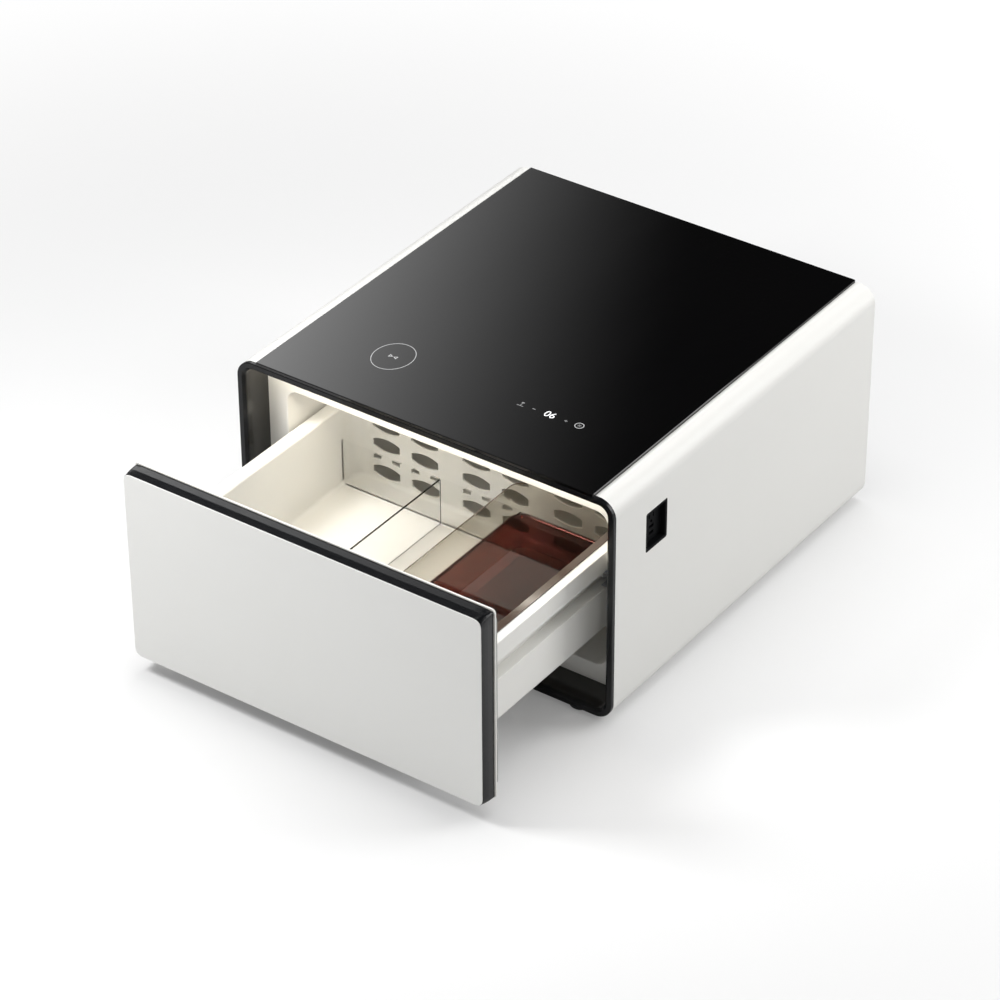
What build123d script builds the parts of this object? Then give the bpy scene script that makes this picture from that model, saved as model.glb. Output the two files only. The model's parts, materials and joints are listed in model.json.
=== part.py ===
from build123d import *
import os

# A refrigerated side table with one deep drawer, modelled with the drawer part open.
# Millimetres. X is the width, -Y is the drawer front, +Z is up, and Z zero is the floor.

# Driving sizes of the whole table
cabinet_width = 800
cabinet_height = 453
cabinet_depth = 844
corner_radius = 34
foot_height = 10
pull_out = 344.5

# Names shared by every cut
overrun = 5
touch_gap = 0.3
running_clearance = 0.05
screw_radius = 2
pin_radius = 3

# Main levels and distances
front_y = (pull_out - cabinet_depth) / 2
cabinet_bottom = foot_height
cabinet_top = cabinet_bottom + cabinet_height


def at_distance(distance):
    """An upright plane that faces the user, this far behind the cabinet's front."""
    return Plane.XZ.offset(-front_y - distance)


def at_drawer(distance):
    """An upright plane that faces the user, this far behind the drawer's front."""
    return at_distance(distance - pull_out)


def at_level(level):
    """A level plane this high above the cabinet's underside."""
    return Plane.XY.offset(cabinet_bottom + level)


def at_side(distance):
    """An upright plane that faces right, this far to the right of the middle."""
    return Plane.YZ.offset(distance)


def upright_rectangle(width, bottom, top, radius, middle=0, mode=Mode.ADD):
    """A rounded rectangle between two heights above the cabinet's underside."""
    with Locations((middle, cabinet_bottom + (bottom + top) / 2)):
        RectangleRounded(width, top - bottom, radius, mode=mode)


def upright_box(left, right, bottom, top, mode=Mode.ADD):
    """A plain rectangle between two sides and two heights."""
    with Locations(((left + right) / 2, cabinet_bottom + (bottom + top) / 2)):
        Rectangle(right - left, top - bottom, mode=mode)


def level_box(left, right, near, far, mode=Mode.ADD):
    """A plain rectangle seen from above, between two sides and two distances."""
    with Locations(((left + right) / 2, front_y + (near + far) / 2)):
        Rectangle(right - left, far - near, mode=mode)


def side_box(near, far, bottom, top, mode=Mode.ADD):
    """A plain rectangle seen from the right, between two distances and two heights."""
    with Locations((front_y + (near + far) / 2, cabinet_bottom + (bottom + top) / 2)):
        Rectangle(far - near, top - bottom, mode=mode)


os.makedirs("parts", exist_ok=True)

# Outer shell: one wrap that gives the sides, the shoulders and the underside
shell_thickness = 3
bezel_depth = 8
inner_width = cabinet_width - 2 * shell_thickness
inner_radius = corner_radius - shell_thickness
inner_bottom = shell_thickness
inner_top = cabinet_height - shell_thickness

glass_side_inset = 42
glass_width = cabinet_width - 2 * glass_side_inset
glass_thickness = 6.5
glass_proud = 5.5
glass_front_inset = 1
glass_back_inset = 2
glass_bottom = cabinet_height + glass_proud - glass_thickness
seat_ledge = 28

socket_distance = 132
socket_drop = 114.5
socket_level = cabinet_height - socket_drop
socket_width = 65
socket_height = 80
socket_corner = 4

foot_inset_x = 80
foot_inset_y = 28
foot_stem_radius = 5
foot_places = [
    (-cabinet_width / 2 + foot_inset_x, front_y + foot_inset_y),
    (cabinet_width / 2 - foot_inset_x, front_y + foot_inset_y),
    (-cabinet_width / 2 + foot_inset_x, front_y + cabinet_depth - foot_inset_y),
    (cabinet_width / 2 - foot_inset_x, front_y + cabinet_depth - foot_inset_y),
]

with BuildPart() as outer_shell:
    with BuildSketch(at_distance(cabinet_depth)):
        upright_rectangle(cabinet_width, 0, cabinet_height, corner_radius)
        upright_rectangle(inner_width, inner_bottom, inner_top, inner_radius, mode=Mode.SUBTRACT)
    extrude(amount=cabinet_depth - bezel_depth)
    with BuildSketch(at_level(glass_bottom)):
        level_box(-glass_width / 2, glass_width / 2, 0, cabinet_depth + overrun)
    extrude(amount=glass_thickness, mode=Mode.SUBTRACT)
    with BuildSketch(at_level(inner_top - overrun)):
        level_box(-glass_width / 2 + seat_ledge, glass_width / 2 - seat_ledge,
                  bezel_depth + seat_ledge, cabinet_depth - seat_ledge)
    extrude(amount=glass_thickness + overrun, mode=Mode.SUBTRACT)
    with BuildSketch(at_side(cabinet_width / 2 - shell_thickness - overrun)):
        with Locations((front_y + socket_distance, cabinet_bottom + socket_level)):
            RectangleRounded(socket_width, socket_height, socket_corner)
    extrude(amount=shell_thickness + 2 * overrun, mode=Mode.SUBTRACT)
    with BuildSketch(at_level(-overrun)):
        with Locations(*foot_places):
            Circle(foot_stem_radius)
    extrude(amount=shell_thickness + 2 * overrun, mode=Mode.SUBTRACT)
outer_shell.part.label = "outer_shell"
export_step(outer_shell.part, "parts/outer_shell.step")

# Front bezel: the black ring, its inner edge broken by a wide chamfer
bar_width = 15
bezel_chamfer = 5
bezel_edge_radius = 1.5
opening_width = cabinet_width - 2 * bar_width
opening_bottom = bar_width
opening_top = cabinet_height - bar_width
opening_radius = corner_radius - bar_width

with BuildPart() as front_bezel:
    with BuildSketch(at_distance(bezel_depth)):
        upright_rectangle(cabinet_width, 0, cabinet_height, corner_radius)
        upright_rectangle(opening_width, opening_bottom, opening_top, opening_radius, mode=Mode.SUBTRACT)
    extrude(amount=bezel_depth)
    front_face = front_bezel.faces().sort_by(Axis.Y)[0]
    chamfer(front_face.inner_wires()[0].edges(), length=bezel_chamfer)
    front_face = front_bezel.faces().sort_by(Axis.Y)[0]
    fillet(front_face.outer_wire().edges(), radius=bezel_edge_radius)
    with BuildSketch(at_level(glass_bottom)):
        level_box(-glass_width / 2, glass_width / 2, -overrun, bezel_depth + overrun)
    extrude(amount=glass_thickness, mode=Mode.SUBTRACT)
front_bezel.part.label = "front_bezel"
export_step(front_bezel.part, "parts/front_bezel.step")

# Throat: the glossy dark tunnel between the bezel and the liner's flange
throat_back = 67.5
throat_thickness = 3
throat_outer_width = opening_width + 2 * throat_thickness
throat_outer_bottom = opening_bottom - throat_thickness
throat_outer_top = opening_top + throat_thickness
throat_outer_radius = opening_radius + throat_thickness

with BuildPart() as throat_sleeve:
    with BuildSketch(at_distance(throat_back)):
        upright_rectangle(throat_outer_width, throat_outer_bottom, throat_outer_top, throat_outer_radius)
        upright_rectangle(opening_width, opening_bottom, opening_top, opening_radius, mode=Mode.SUBTRACT)
    extrude(amount=throat_back - bezel_depth)
throat_sleeve.part.label = "throat_sleeve"
export_step(throat_sleeve.part, "parts/throat_sleeve.step")

# Liner: a front flange and the cold cavity behind it
liner_thickness = 3
flange_back = throat_back + liner_thickness
cavity_side_wall = 57
cavity_roof_drop = 81
machine_depth = 185
cavity_width = cabinet_width - 2 * cavity_side_wall
cavity_bottom = 51
cavity_top = cabinet_height - cavity_roof_drop
cavity_back = cabinet_depth - machine_depth
cavity_radius = 24
cavity_edge_radius = 2.5
liner_back = cavity_back + liner_thickness
liner_width = cavity_width + 2 * liner_thickness
liner_bottom = cavity_bottom - liner_thickness
liner_top = cavity_top + liner_thickness
liner_radius = cavity_radius + liner_thickness

# Places in the cold space that the liner's own holes follow
evaporator_bay = 55
evap_cover_front = cavity_back - evaporator_bay
tub_headroom = 83
tub_rim = cavity_top - tub_headroom
rail_drop = 58
rail_start_gap = 8.5
rail_end_gap = 8
rail_middle_level = tub_rim - rail_drop
rail_near = throat_back + rail_start_gap
rail_far = evap_cover_front - rail_end_gap
rail_screw_inset = 68
rail_screw_spacing = 200
rail_screw_end_inset = 32
rail_screw_distances = [
    rail_near + rail_screw_inset,
    rail_near + rail_screw_inset + rail_screw_spacing,
    rail_far - rail_screw_end_inset,
]

evaporator_side_gap = 107
evaporator_back_gap = 25
evaporator_floor_gap = 19
evaporator_height_share = 0.375
evaporator_tube_inset = 18
evaporator_rows = 4
evaporator_half_width = cavity_width / 2 - evaporator_side_gap
evaporator_distance = cavity_back - evaporator_back_gap
evaporator_low = cavity_bottom + evaporator_floor_gap
evaporator_high = evaporator_low + evaporator_height_share * (cavity_top - cavity_bottom)
evaporator_tube_low = evaporator_low + evaporator_tube_inset
suction_level = evaporator_high - evaporator_tube_inset
evaporator_tube_pitch = (suction_level - evaporator_tube_low) / (evaporator_rows - 1)
suction_inset = 6
suction_x = suction_inset - evaporator_half_width
suction_radius = 4
suction_hole_radius = 5

with BuildPart() as liner:
    with BuildSketch(at_distance(flange_back)):
        upright_rectangle(throat_outer_width, throat_outer_bottom, throat_outer_top, throat_outer_radius)
    extrude(amount=liner_thickness)
    with BuildSketch(at_distance(liner_back)):
        upright_rectangle(liner_width, liner_bottom, liner_top, liner_radius)
    extrude(amount=liner_back - flange_back)
    with BuildSketch(at_distance(cavity_back)):
        upright_rectangle(cavity_width, cavity_bottom, cavity_top, cavity_radius)
    extrude(amount=cavity_back - throat_back, mode=Mode.SUBTRACT)
    flange_face = liner.faces().sort_by(Axis.Y)[0]
    fillet(flange_face.inner_wires()[0].edges(), radius=cavity_edge_radius)
    with BuildSketch(at_side(-liner_width / 2 - overrun)):
        for distance in rail_screw_distances:
            with Locations((front_y + distance, cabinet_bottom + rail_middle_level)):
                Circle(screw_radius)
    extrude(amount=liner_width + 2 * overrun, mode=Mode.SUBTRACT)
    with BuildSketch(at_distance(liner_back + overrun)):
        with Locations((suction_x, cabinet_bottom + suction_level)):
            Circle(suction_hole_radius)
    extrude(amount=liner_thickness + 2 * overrun, mode=Mode.SUBTRACT)
liner.part.label = "liner"
export_step(liner.part, "parts/liner.step")

# Insulation: foam that fills the space between the liner and the shell
carrier_thickness = 4
carrier_bottom = inner_top - carrier_thickness
back_foam_thickness = 30
foam_back = liner_back + back_foam_thickness
socket_pocket_depth = 40

with BuildPart() as insulation_foam:
    with BuildSketch(at_distance(foam_back)):
        upright_rectangle(inner_width, inner_bottom, inner_top, inner_radius)
        upright_box(-inner_width / 2, inner_width / 2, carrier_bottom, inner_top, mode=Mode.SUBTRACT)
    extrude(amount=foam_back - flange_back)
    with BuildSketch(at_distance(liner_back)):
        upright_rectangle(liner_width, liner_bottom, liner_top, liner_radius)
    extrude(amount=liner_back - flange_back, mode=Mode.SUBTRACT)
    with BuildSketch(at_side(inner_width / 2 - socket_pocket_depth)):
        side_box(socket_distance - socket_width / 2, socket_distance + socket_width / 2,
                 socket_level - socket_height / 2, socket_level + socket_height / 2)
    extrude(amount=socket_pocket_depth, mode=Mode.SUBTRACT)
    with BuildSketch(at_distance(foam_back + overrun)):
        with Locations((suction_x, cabinet_bottom + suction_level)):
            Circle(suction_hole_radius)
    extrude(amount=foam_back - liner_back + 2 * overrun, mode=Mode.SUBTRACT)
insulation_foam.part.label = "insulation_foam"
export_step(insulation_foam.part, "parts/insulation_foam.step")

# Glass top with a ground bevel all round
glass_corner = 2
glass_bevel = 1

with BuildPart() as glass_top:
    glass_length = cabinet_depth - glass_front_inset - glass_back_inset
    with BuildSketch(at_level(glass_bottom)):
        with Locations((0, front_y + glass_front_inset + glass_length / 2)):
            RectangleRounded(glass_width, glass_length, glass_corner)
    extrude(amount=glass_thickness)
    chamfer(glass_top.faces().sort_by(Axis.Z)[-1].edges(), length=glass_bevel)
glass_top.part.label = "glass_top"
export_step(glass_top.part, "parts/glass_top.step")

# Carrier under the glass: it holds the charging coil and the touch board
carrier_margin = 18
plateau_inset = seat_ledge + touch_gap
coil_x = -171.7
coil_distance = 155.6
coil_radius = 42
coil_hole_radius = 12
ferrite_thickness = 1.5
coil_thickness = 2
board_x = 160
board_distance = 159
board_width = 160
board_length = 50
board_thickness = 1.6
display_width = 44
display_length = 22
display_thickness = 2
pocket_depth = ferrite_thickness + coil_thickness

with BuildPart() as glass_carrier:
    with BuildSketch(at_level(carrier_bottom)):
        level_box(-glass_width / 2 + seat_ledge - carrier_margin, glass_width / 2 - seat_ledge + carrier_margin,
                  bezel_depth + seat_ledge - carrier_margin, cabinet_depth - seat_ledge + carrier_margin)
    extrude(amount=carrier_thickness)
    with BuildSketch(at_level(inner_top)):
        level_box(-glass_width / 2 + plateau_inset, glass_width / 2 - plateau_inset,
                  bezel_depth + plateau_inset, cabinet_depth - plateau_inset)
    extrude(amount=glass_bottom - inner_top)
    with BuildSketch(at_level(glass_bottom - pocket_depth)):
        with Locations((coil_x, front_y + coil_distance)):
            Circle(coil_radius)
        with Locations((board_x, front_y + board_distance)):
            Rectangle(board_width, board_length)
    extrude(amount=pocket_depth + overrun, mode=Mode.SUBTRACT)
glass_carrier.part.label = "glass_carrier"
export_step(glass_carrier.part, "parts/glass_carrier.step")

with BuildPart() as coil_ferrite:
    with BuildSketch(at_level(glass_bottom - pocket_depth)):
        with Locations((coil_x, front_y + coil_distance)):
            Circle(coil_radius)
    extrude(amount=ferrite_thickness)
coil_ferrite.part.label = "coil_ferrite"
export_step(coil_ferrite.part, "parts/coil_ferrite.step")

with BuildPart() as charging_coil:
    with BuildSketch(at_level(glass_bottom - coil_thickness)):
        with Locations((coil_x, front_y + coil_distance)):
            Circle(coil_radius)
            Circle(coil_hole_radius, mode=Mode.SUBTRACT)
    extrude(amount=coil_thickness)
charging_coil.part.label = "charging_coil"
export_step(charging_coil.part, "parts/charging_coil.step")

display_bottom = glass_bottom - display_thickness
board_bottom = glass_bottom - pocket_depth
with BuildPart() as touch_board:
    with BuildSketch(at_level(board_bottom)):
        with Locations((board_x, front_y + board_distance)):
            Rectangle(board_width, board_length)
    extrude(amount=pocket_depth - display_thickness)
touch_board.part.label = "touch_board"
export_step(touch_board.part, "parts/touch_board.step")

with BuildPart() as display_module:
    with BuildSketch(at_level(display_bottom)):
        with Locations((board_x, front_y + board_distance)):
            Rectangle(display_width, display_length)
    extrude(amount=display_thickness)
display_module.part.label = "display_module"
export_step(display_module.part, "parts/display_module.step")

# Light bar under the throat's ceiling
light_length = 600
light_height = 6
light_near = 44
light_far = 62
light_edge = 2

with BuildPart() as light_bar:
    with BuildSketch(at_level(opening_top - light_height)):
        level_box(-light_length / 2, light_length / 2, light_near, light_far)
    extrude(amount=light_height)
    chamfer(light_bar.faces().sort_by(Axis.Z)[0].edges().filter_by(Axis.X), length=light_edge)
light_bar.part.label = "light_bar"
export_step(light_bar.part, "parts/light_bar.step")

# Power socket in the right side: a frame flush with the shell and a recessed insert
socket_frame_depth = 15
socket_rim = 5.5
socket_window_radius = 2
socket_recess = 11
insert_depth = 26
socket_window_width = socket_width - 2 * socket_rim
socket_window_height = socket_height - 2 * socket_rim
blade_slot_width = 3
blade_slot_height = 9
blade_slot_spacing = 13
blade_slot_depth = 8
blade_slot_rise = 16
usb_width = 14
usb_height = 6
usb_spacing = 13
usb_drop = 12
rocker_drop = 5

with BuildPart() as socket_frame:
    with BuildSketch(at_side(cabinet_width / 2 - socket_frame_depth)):
        with Locations((front_y + socket_distance, cabinet_bottom + socket_level)):
            RectangleRounded(socket_width, socket_height, socket_corner)
            RectangleRounded(socket_window_width, socket_window_height, socket_window_radius, mode=Mode.SUBTRACT)
    extrude(amount=socket_frame_depth)
    outer_face = socket_frame.faces().sort_by(Axis.X)[-1]
    chamfer(outer_face.inner_wires()[0].edges(), length=socket_window_radius / 2)
socket_frame.part.label = "socket_frame"
export_step(socket_frame.part, "parts/socket_frame.step")

insert_face = cabinet_width / 2 - socket_recess
with BuildPart() as socket_insert:
    with BuildSketch(at_side(insert_face - insert_depth)):
        with Locations((front_y + socket_distance, cabinet_bottom + socket_level)):
            RectangleRounded(socket_window_width, socket_window_height, socket_window_radius)
    extrude(amount=insert_depth)
    with BuildSketch(at_side(insert_face - blade_slot_depth)):
        with Locations((front_y + socket_distance, cabinet_bottom + socket_level + blade_slot_rise)):
            with GridLocations(blade_slot_spacing, 0, 2, 1):
                Rectangle(blade_slot_width, blade_slot_height)
        with Locations((front_y + socket_distance, cabinet_bottom + socket_level + rocker_drop)):
            Circle(blade_slot_width)
        with Locations((front_y + socket_distance, cabinet_bottom + socket_level - usb_drop)):
            with GridLocations(0, usb_spacing, 1, 2):
                Rectangle(usb_width, usb_height)
    extrude(amount=blade_slot_depth + overrun, mode=Mode.SUBTRACT)
socket_insert.part.label = "socket_insert"
export_step(socket_insert.part, "parts/socket_insert.step")

# Bulkhead and base plate of the machine compartment
bulkhead_thickness = 2
bulkhead_back = foam_back + bulkhead_thickness
base_plate_thickness = 2
base_plate_half_width = inner_width / 2 - inner_radius
base_top = inner_bottom + base_plate_thickness
cover_thickness = 3
cover_recess = 1
cover_front = cabinet_depth - cover_recess - cover_thickness

with BuildPart() as bulkhead:
    with BuildSketch(at_distance(bulkhead_back)):
        upright_rectangle(inner_width, inner_bottom, inner_top, inner_radius)
        upright_box(-inner_width / 2, inner_width / 2, carrier_bottom, inner_top, mode=Mode.SUBTRACT)
        with Locations((suction_x, cabinet_bottom + suction_level)):
            Circle(suction_hole_radius, mode=Mode.SUBTRACT)
    extrude(amount=bulkhead_thickness)
bulkhead.part.label = "bulkhead"
export_step(bulkhead.part, "parts/bulkhead.step")

with BuildPart() as base_plate:
    with BuildSketch(at_level(inner_bottom)):
        level_box(-base_plate_half_width, base_plate_half_width, bulkhead_back, cover_front)
        with Locations(*foot_places[2:]):
            Circle(foot_stem_radius, mode=Mode.SUBTRACT)
    extrude(amount=base_plate_thickness)
base_plate.part.label = "base_plate"
export_step(base_plate.part, "parts/base_plate.step")

# Back cover: two fields of slots, one mains opening and its screws
slot_length = 150
slot_height = 5
slot_pitch = 12
slot_rows = 16
slot_field_level = 170
condenser_side_gap = 207
condenser_x = inner_width / 2 - condenser_side_gap
inlet_x = 0
inlet_level = 60
inlet_body_width = 47
inlet_body_height = 24
cover_screw_inset = 57
cover_screw_x = inner_width / 2 - cover_screw_inset
cover_screw_low = 40
cover_screw_drop = 33
cover_screw_high = cabinet_height - cover_screw_drop
cover_screw_head = 4
cover_screw_length = 9
cover_boss_radius = 6
cover_screw_places = [
    (-cover_screw_x, cabinet_bottom + cover_screw_low),
    (cover_screw_x, cabinet_bottom + cover_screw_low),
    (-cover_screw_x, cabinet_bottom + cover_screw_high),
    (cover_screw_x, cabinet_bottom + cover_screw_high),
]

with BuildPart() as back_cover:
    with BuildSketch(at_distance(cover_front + cover_thickness)):
        upright_rectangle(inner_width, inner_bottom, inner_top, inner_radius)
        with Locations(*cover_screw_places):
            Circle(screw_radius, mode=Mode.SUBTRACT)
        with Locations((inlet_x, cabinet_bottom + inlet_level)):
            Rectangle(inlet_body_width, inlet_body_height, mode=Mode.SUBTRACT)
        for side in (-1, 1):
            with Locations((side * condenser_x, cabinet_bottom + slot_field_level)):
                with GridLocations(0, slot_pitch, 1, slot_rows):
                    SlotOverall(slot_length, slot_height, mode=Mode.SUBTRACT)
    extrude(amount=cover_thickness)
    with BuildSketch(at_distance(cover_front)):
        with Locations(*cover_screw_places):
            Circle(cover_boss_radius)
            Circle(screw_radius, mode=Mode.SUBTRACT)
    extrude(amount=cover_screw_length)
back_cover.part.label = "back_cover"
export_step(back_cover.part, "parts/back_cover.step")

with BuildPart() as back_cover_screws:
    with BuildSketch(at_distance(cabinet_depth)):
        with Locations(*cover_screw_places):
            Circle(cover_screw_head)
    extrude(amount=cover_recess)
    with BuildSketch(at_distance(cover_front + cover_thickness)):
        with Locations(*cover_screw_places):
            Circle(screw_radius)
    extrude(amount=cover_screw_length)
back_cover_screws.part.label = "back_cover_screws"
export_step(back_cover_screws.part, "parts/back_cover_screws.step")

# Mains inlet with three pins
inlet_flange_width = 56
inlet_flange_height = 32
inlet_flange_radius = 3
inlet_depth = 24
inlet_socket_width = 24.5
inlet_socket_height = 16.5
inlet_socket_depth = 16
inlet_pin_width = 2
inlet_pin_height = 4
inlet_pin_spread = 7
inlet_pin_rise = 2
inlet_pin_setback = 4

with BuildPart() as mains_inlet:
    with BuildSketch(at_distance(cabinet_depth)):
        with Locations((inlet_x, cabinet_bottom + inlet_level)):
            RectangleRounded(inlet_flange_width, inlet_flange_height, inlet_flange_radius)
    extrude(amount=cover_recess)
    with BuildSketch(at_distance(cover_front + cover_thickness)):
        with Locations((inlet_x, cabinet_bottom + inlet_level)):
            Rectangle(inlet_body_width, inlet_body_height)
    extrude(amount=inlet_depth)
    with BuildSketch(at_distance(cabinet_depth + overrun)):
        with Locations((inlet_x, cabinet_bottom + inlet_level)):
            Rectangle(inlet_socket_width, inlet_socket_height)
            for side in (-1, 0, 1):
                with Locations((side * inlet_pin_spread, inlet_pin_rise * (1 - 2 * abs(side)))):
                    Rectangle(inlet_pin_width, inlet_pin_height, mode=Mode.SUBTRACT)
    extrude(amount=inlet_socket_depth + overrun, mode=Mode.SUBTRACT)
    with BuildSketch(at_distance(cabinet_depth + overrun)):
        with Locations((inlet_x, cabinet_bottom + inlet_level)):
            Rectangle(inlet_socket_width, inlet_socket_height)
    extrude(amount=overrun + inlet_pin_setback, mode=Mode.SUBTRACT)
mains_inlet.part.label = "mains_inlet"
export_step(mains_inlet.part, "parts/mains_inlet.step")

# Compressor on four rubber grommets
compressor_x = suction_x
compressor_gap = 74
compressor_distance = bulkhead_back + compressor_gap
compressor_radius = 52
compressor_dome = 22
grommet_height = 9
grommet_radius = 8
grommet_spacing_x = 130
grommet_spacing_y = 96
bracket_thickness = 3
bracket_width = 152
bracket_length = 120
bracket_radius = 12
terminal_width = 34
terminal_height = 44
terminal_depth = 62
bracket_bottom = base_top + grommet_height
compressor_bottom = bracket_bottom + bracket_thickness
suction_drop = 23.375
suction_join_level = suction_level - suction_drop
compressor_height = suction_join_level - compressor_bottom
compressor_place = (compressor_x, front_y + compressor_distance)

with BuildPart() as compressor:
    with BuildSketch(at_level(compressor_bottom)):
        with Locations(compressor_place):
            Circle(compressor_radius)
    extrude(amount=compressor_height)
    fillet(compressor.faces().sort_by(Axis.Z)[-1].edges(), radius=compressor_dome)
    with BuildSketch(at_level(bracket_bottom)):
        with Locations(compressor_place):
            RectangleRounded(bracket_width, bracket_length, bracket_radius)
            with GridLocations(grommet_spacing_x, grommet_spacing_y, 2, 2):
                Circle(screw_radius, mode=Mode.SUBTRACT)
    extrude(amount=bracket_thickness)
    with BuildSketch(at_side(compressor_x)):
        side_box(compressor_distance - terminal_width / 2, compressor_distance + terminal_width / 2,
                 compressor_bottom + terminal_width, compressor_bottom + terminal_width + terminal_height)
    extrude(amount=-terminal_depth)
compressor.part.label = "compressor"
export_step(compressor.part, "parts/compressor.step")

with BuildPart() as compressor_grommets:
    with BuildSketch(at_level(base_top)):
        with Locations(compressor_place):
            with GridLocations(grommet_spacing_x, grommet_spacing_y, 2, 2):
                Circle(grommet_radius)
                Circle(screw_radius, mode=Mode.SUBTRACT)
    extrude(amount=grommet_height)
compressor_grommets.part.label = "compressor_grommets"
export_step(compressor_grommets.part, "parts/compressor_grommets.step")

with BuildPart() as compressor_bolts:
    with BuildSketch(at_level(base_top)):
        with Locations(compressor_place):
            with GridLocations(grommet_spacing_x, grommet_spacing_y, 2, 2):
                Circle(screw_radius)
    extrude(amount=grommet_height + bracket_thickness)
    with BuildSketch(at_level(compressor_bottom)):
        with Locations(compressor_place):
            with GridLocations(grommet_spacing_x, grommet_spacing_y, 2, 2):
                RegularPolygon(cover_screw_head, side_count=6)
    extrude(amount=bracket_thickness)
compressor_bolts.part.label = "compressor_bolts"
export_step(compressor_bolts.part, "parts/compressor_bolts.step")

# Finned coils: one condenser behind the slots and one evaporator in the cold space
coil_tube_radius = 4


def serpentine(half_width, low, pitch, rows):
    """Points of a tube that runs to and fro, one level above the last."""
    points = []
    for row in range(rows):
        side = -1 if row % 2 == 0 else 1
        points.append((side * half_width, low + row * pitch))
        points.append((-side * half_width, low + row * pitch))
    return points


def coil_tube(middle, distance, half_width, low, pitch, rows):
    """A bent tube in one upright plane, swept along its serpentine."""
    path_points = [(middle + x, cabinet_bottom + z) for x, z in serpentine(half_width, low, pitch, rows)]
    with BuildLine(at_distance(distance)) as path:
        FilletPolyline(*path_points, radius=pitch / 2 - touch_gap)
    with BuildSketch(Plane(origin=path.line @ 0, z_dir=path.line % 0)) as section:
        Circle(coil_tube_radius)
    sweep(section.sketch, path=path.line)


def fin_pack(middle, distance, depth, low, high, count, pitch, thickness, tube_low, tube_pitch, rows):
    """Thin upright fins side by side, each pierced where the tube passes."""
    for index in range(count):
        left = middle + (index - (count - 1) / 2) * pitch
        with BuildSketch(at_side(left - thickness / 2)) as section:
            side_box(distance - depth / 2, distance + depth / 2, low, high)
            for row in range(rows):
                with Locations((front_y + distance, cabinet_bottom + tube_low + row * tube_pitch)):
                    Circle(coil_tube_radius, mode=Mode.SUBTRACT)
        extrude(section.sketch, amount=thickness)


condenser_gap = 70
condenser_distance = bulkhead_back + condenser_gap
condenser_depth = 40
condenser_low = 60
condenser_high = 290
condenser_fins_count = 19
condenser_fin_pitch = 10
fin_thickness = 1
condenser_tube_low = 85
condenser_tube_pitch = 36
condenser_rows = 6
condenser_half_width = 124

with BuildPart() as condenser_fins:
    fin_pack(condenser_x, condenser_distance, condenser_depth, condenser_low, condenser_high,
             condenser_fins_count, condenser_fin_pitch, fin_thickness,
             condenser_tube_low, condenser_tube_pitch, condenser_rows)
condenser_fins.part.label = "condenser_fins"
export_step(condenser_fins.part, "parts/condenser_fins.step")

with BuildPart() as condenser_tube:
    coil_tube(condenser_x, condenser_distance, condenser_half_width,
              condenser_tube_low, condenser_tube_pitch, condenser_rows)
condenser_tube.part.label = "condenser_tube"
export_step(condenser_tube.part, "parts/condenser_tube.step")

evaporator_depth = 32
evaporator_fins_count = 23
evaporator_bend_inset = 16
evaporator_fin_pitch = 2 * (evaporator_half_width - evaporator_bend_inset) / (evaporator_fins_count - 1)

with BuildPart() as evaporator_fins:
    fin_pack(0, evaporator_distance, evaporator_depth, evaporator_low, evaporator_high,
             evaporator_fins_count, evaporator_fin_pitch, fin_thickness,
             evaporator_tube_low, evaporator_tube_pitch, evaporator_rows)
evaporator_fins.part.label = "evaporator_fins"
export_step(evaporator_fins.part, "parts/evaporator_fins.step")

with BuildPart() as evaporator_tube:
    coil_tube(0, evaporator_distance, evaporator_half_width,
              evaporator_tube_low, evaporator_tube_pitch, evaporator_rows)
evaporator_tube.part.label = "evaporator_tube"
export_step(evaporator_tube.part, "parts/evaporator_tube.step")

# Evaporator cover: a panel across the cavity with slots below and a fan opening above
evap_cover_thickness = 3
evap_fan_level = (evaporator_high + cavity_top) / 2
evap_opening_radius = 46
cover_slot_length = 70
cover_slot_height = 8
cover_slot_pitch_x = 92
cover_slot_pitch_z = 20
cover_slot_columns = 6
cover_slot_rows = 3
cover_slot_level = 110

with BuildPart() as evaporator_cover:
    with BuildSketch(at_distance(evap_cover_front + evap_cover_thickness)):
        upright_rectangle(cavity_width, cavity_bottom, cavity_top, cavity_radius)
        with Locations((0, cabinet_bottom + evap_fan_level)):
            Circle(evap_opening_radius, mode=Mode.SUBTRACT)
        with Locations((0, cabinet_bottom + cover_slot_level)):
            with GridLocations(cover_slot_pitch_x, cover_slot_pitch_z, cover_slot_columns, cover_slot_rows):
                SlotOverall(cover_slot_length, cover_slot_height, mode=Mode.SUBTRACT)
    extrude(amount=evap_cover_thickness)
evaporator_cover.part.label = "evaporator_cover"
export_step(evaporator_cover.part, "parts/evaporator_cover.step")

# Two fans: each a fixed shroud with a shaft and a rotor that turns on it
fan_blades = 7
fan_blade_pitch = 32
fan_blade_thickness = 1.6
fan_strut_width = 6
fan_strut_depth = 3
fan_shaft_radius = 3
hub_share = 0.32
blade_tip_gap = 3
fan_wall = 5


def fan_shroud(middle, distance, level, radius, depth):
    """A square frame round the blades, with four struts and the shaft."""
    side = 2 * (radius + fan_wall)
    with BuildSketch(at_distance(distance + depth)) as section:
        with Locations((middle, cabinet_bottom + level)):
            RectangleRounded(side, side, fan_wall)
            Circle(radius, mode=Mode.SUBTRACT)
    extrude(section.sketch, amount=depth)
    with BuildSketch(at_distance(distance + fan_strut_depth)) as section:
        with Locations((middle, cabinet_bottom + level)):
            Rectangle(2 * radius + fan_wall, fan_strut_width)
            Rectangle(fan_strut_width, 2 * radius + fan_wall)
            Circle(hub_share * radius)
    extrude(section.sketch, amount=fan_strut_depth)
    with BuildSketch(at_distance(distance + depth)) as section:
        with Locations((middle, cabinet_bottom + level)):
            Circle(fan_shaft_radius)
    extrude(section.sketch, amount=depth - fan_strut_depth)


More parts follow.
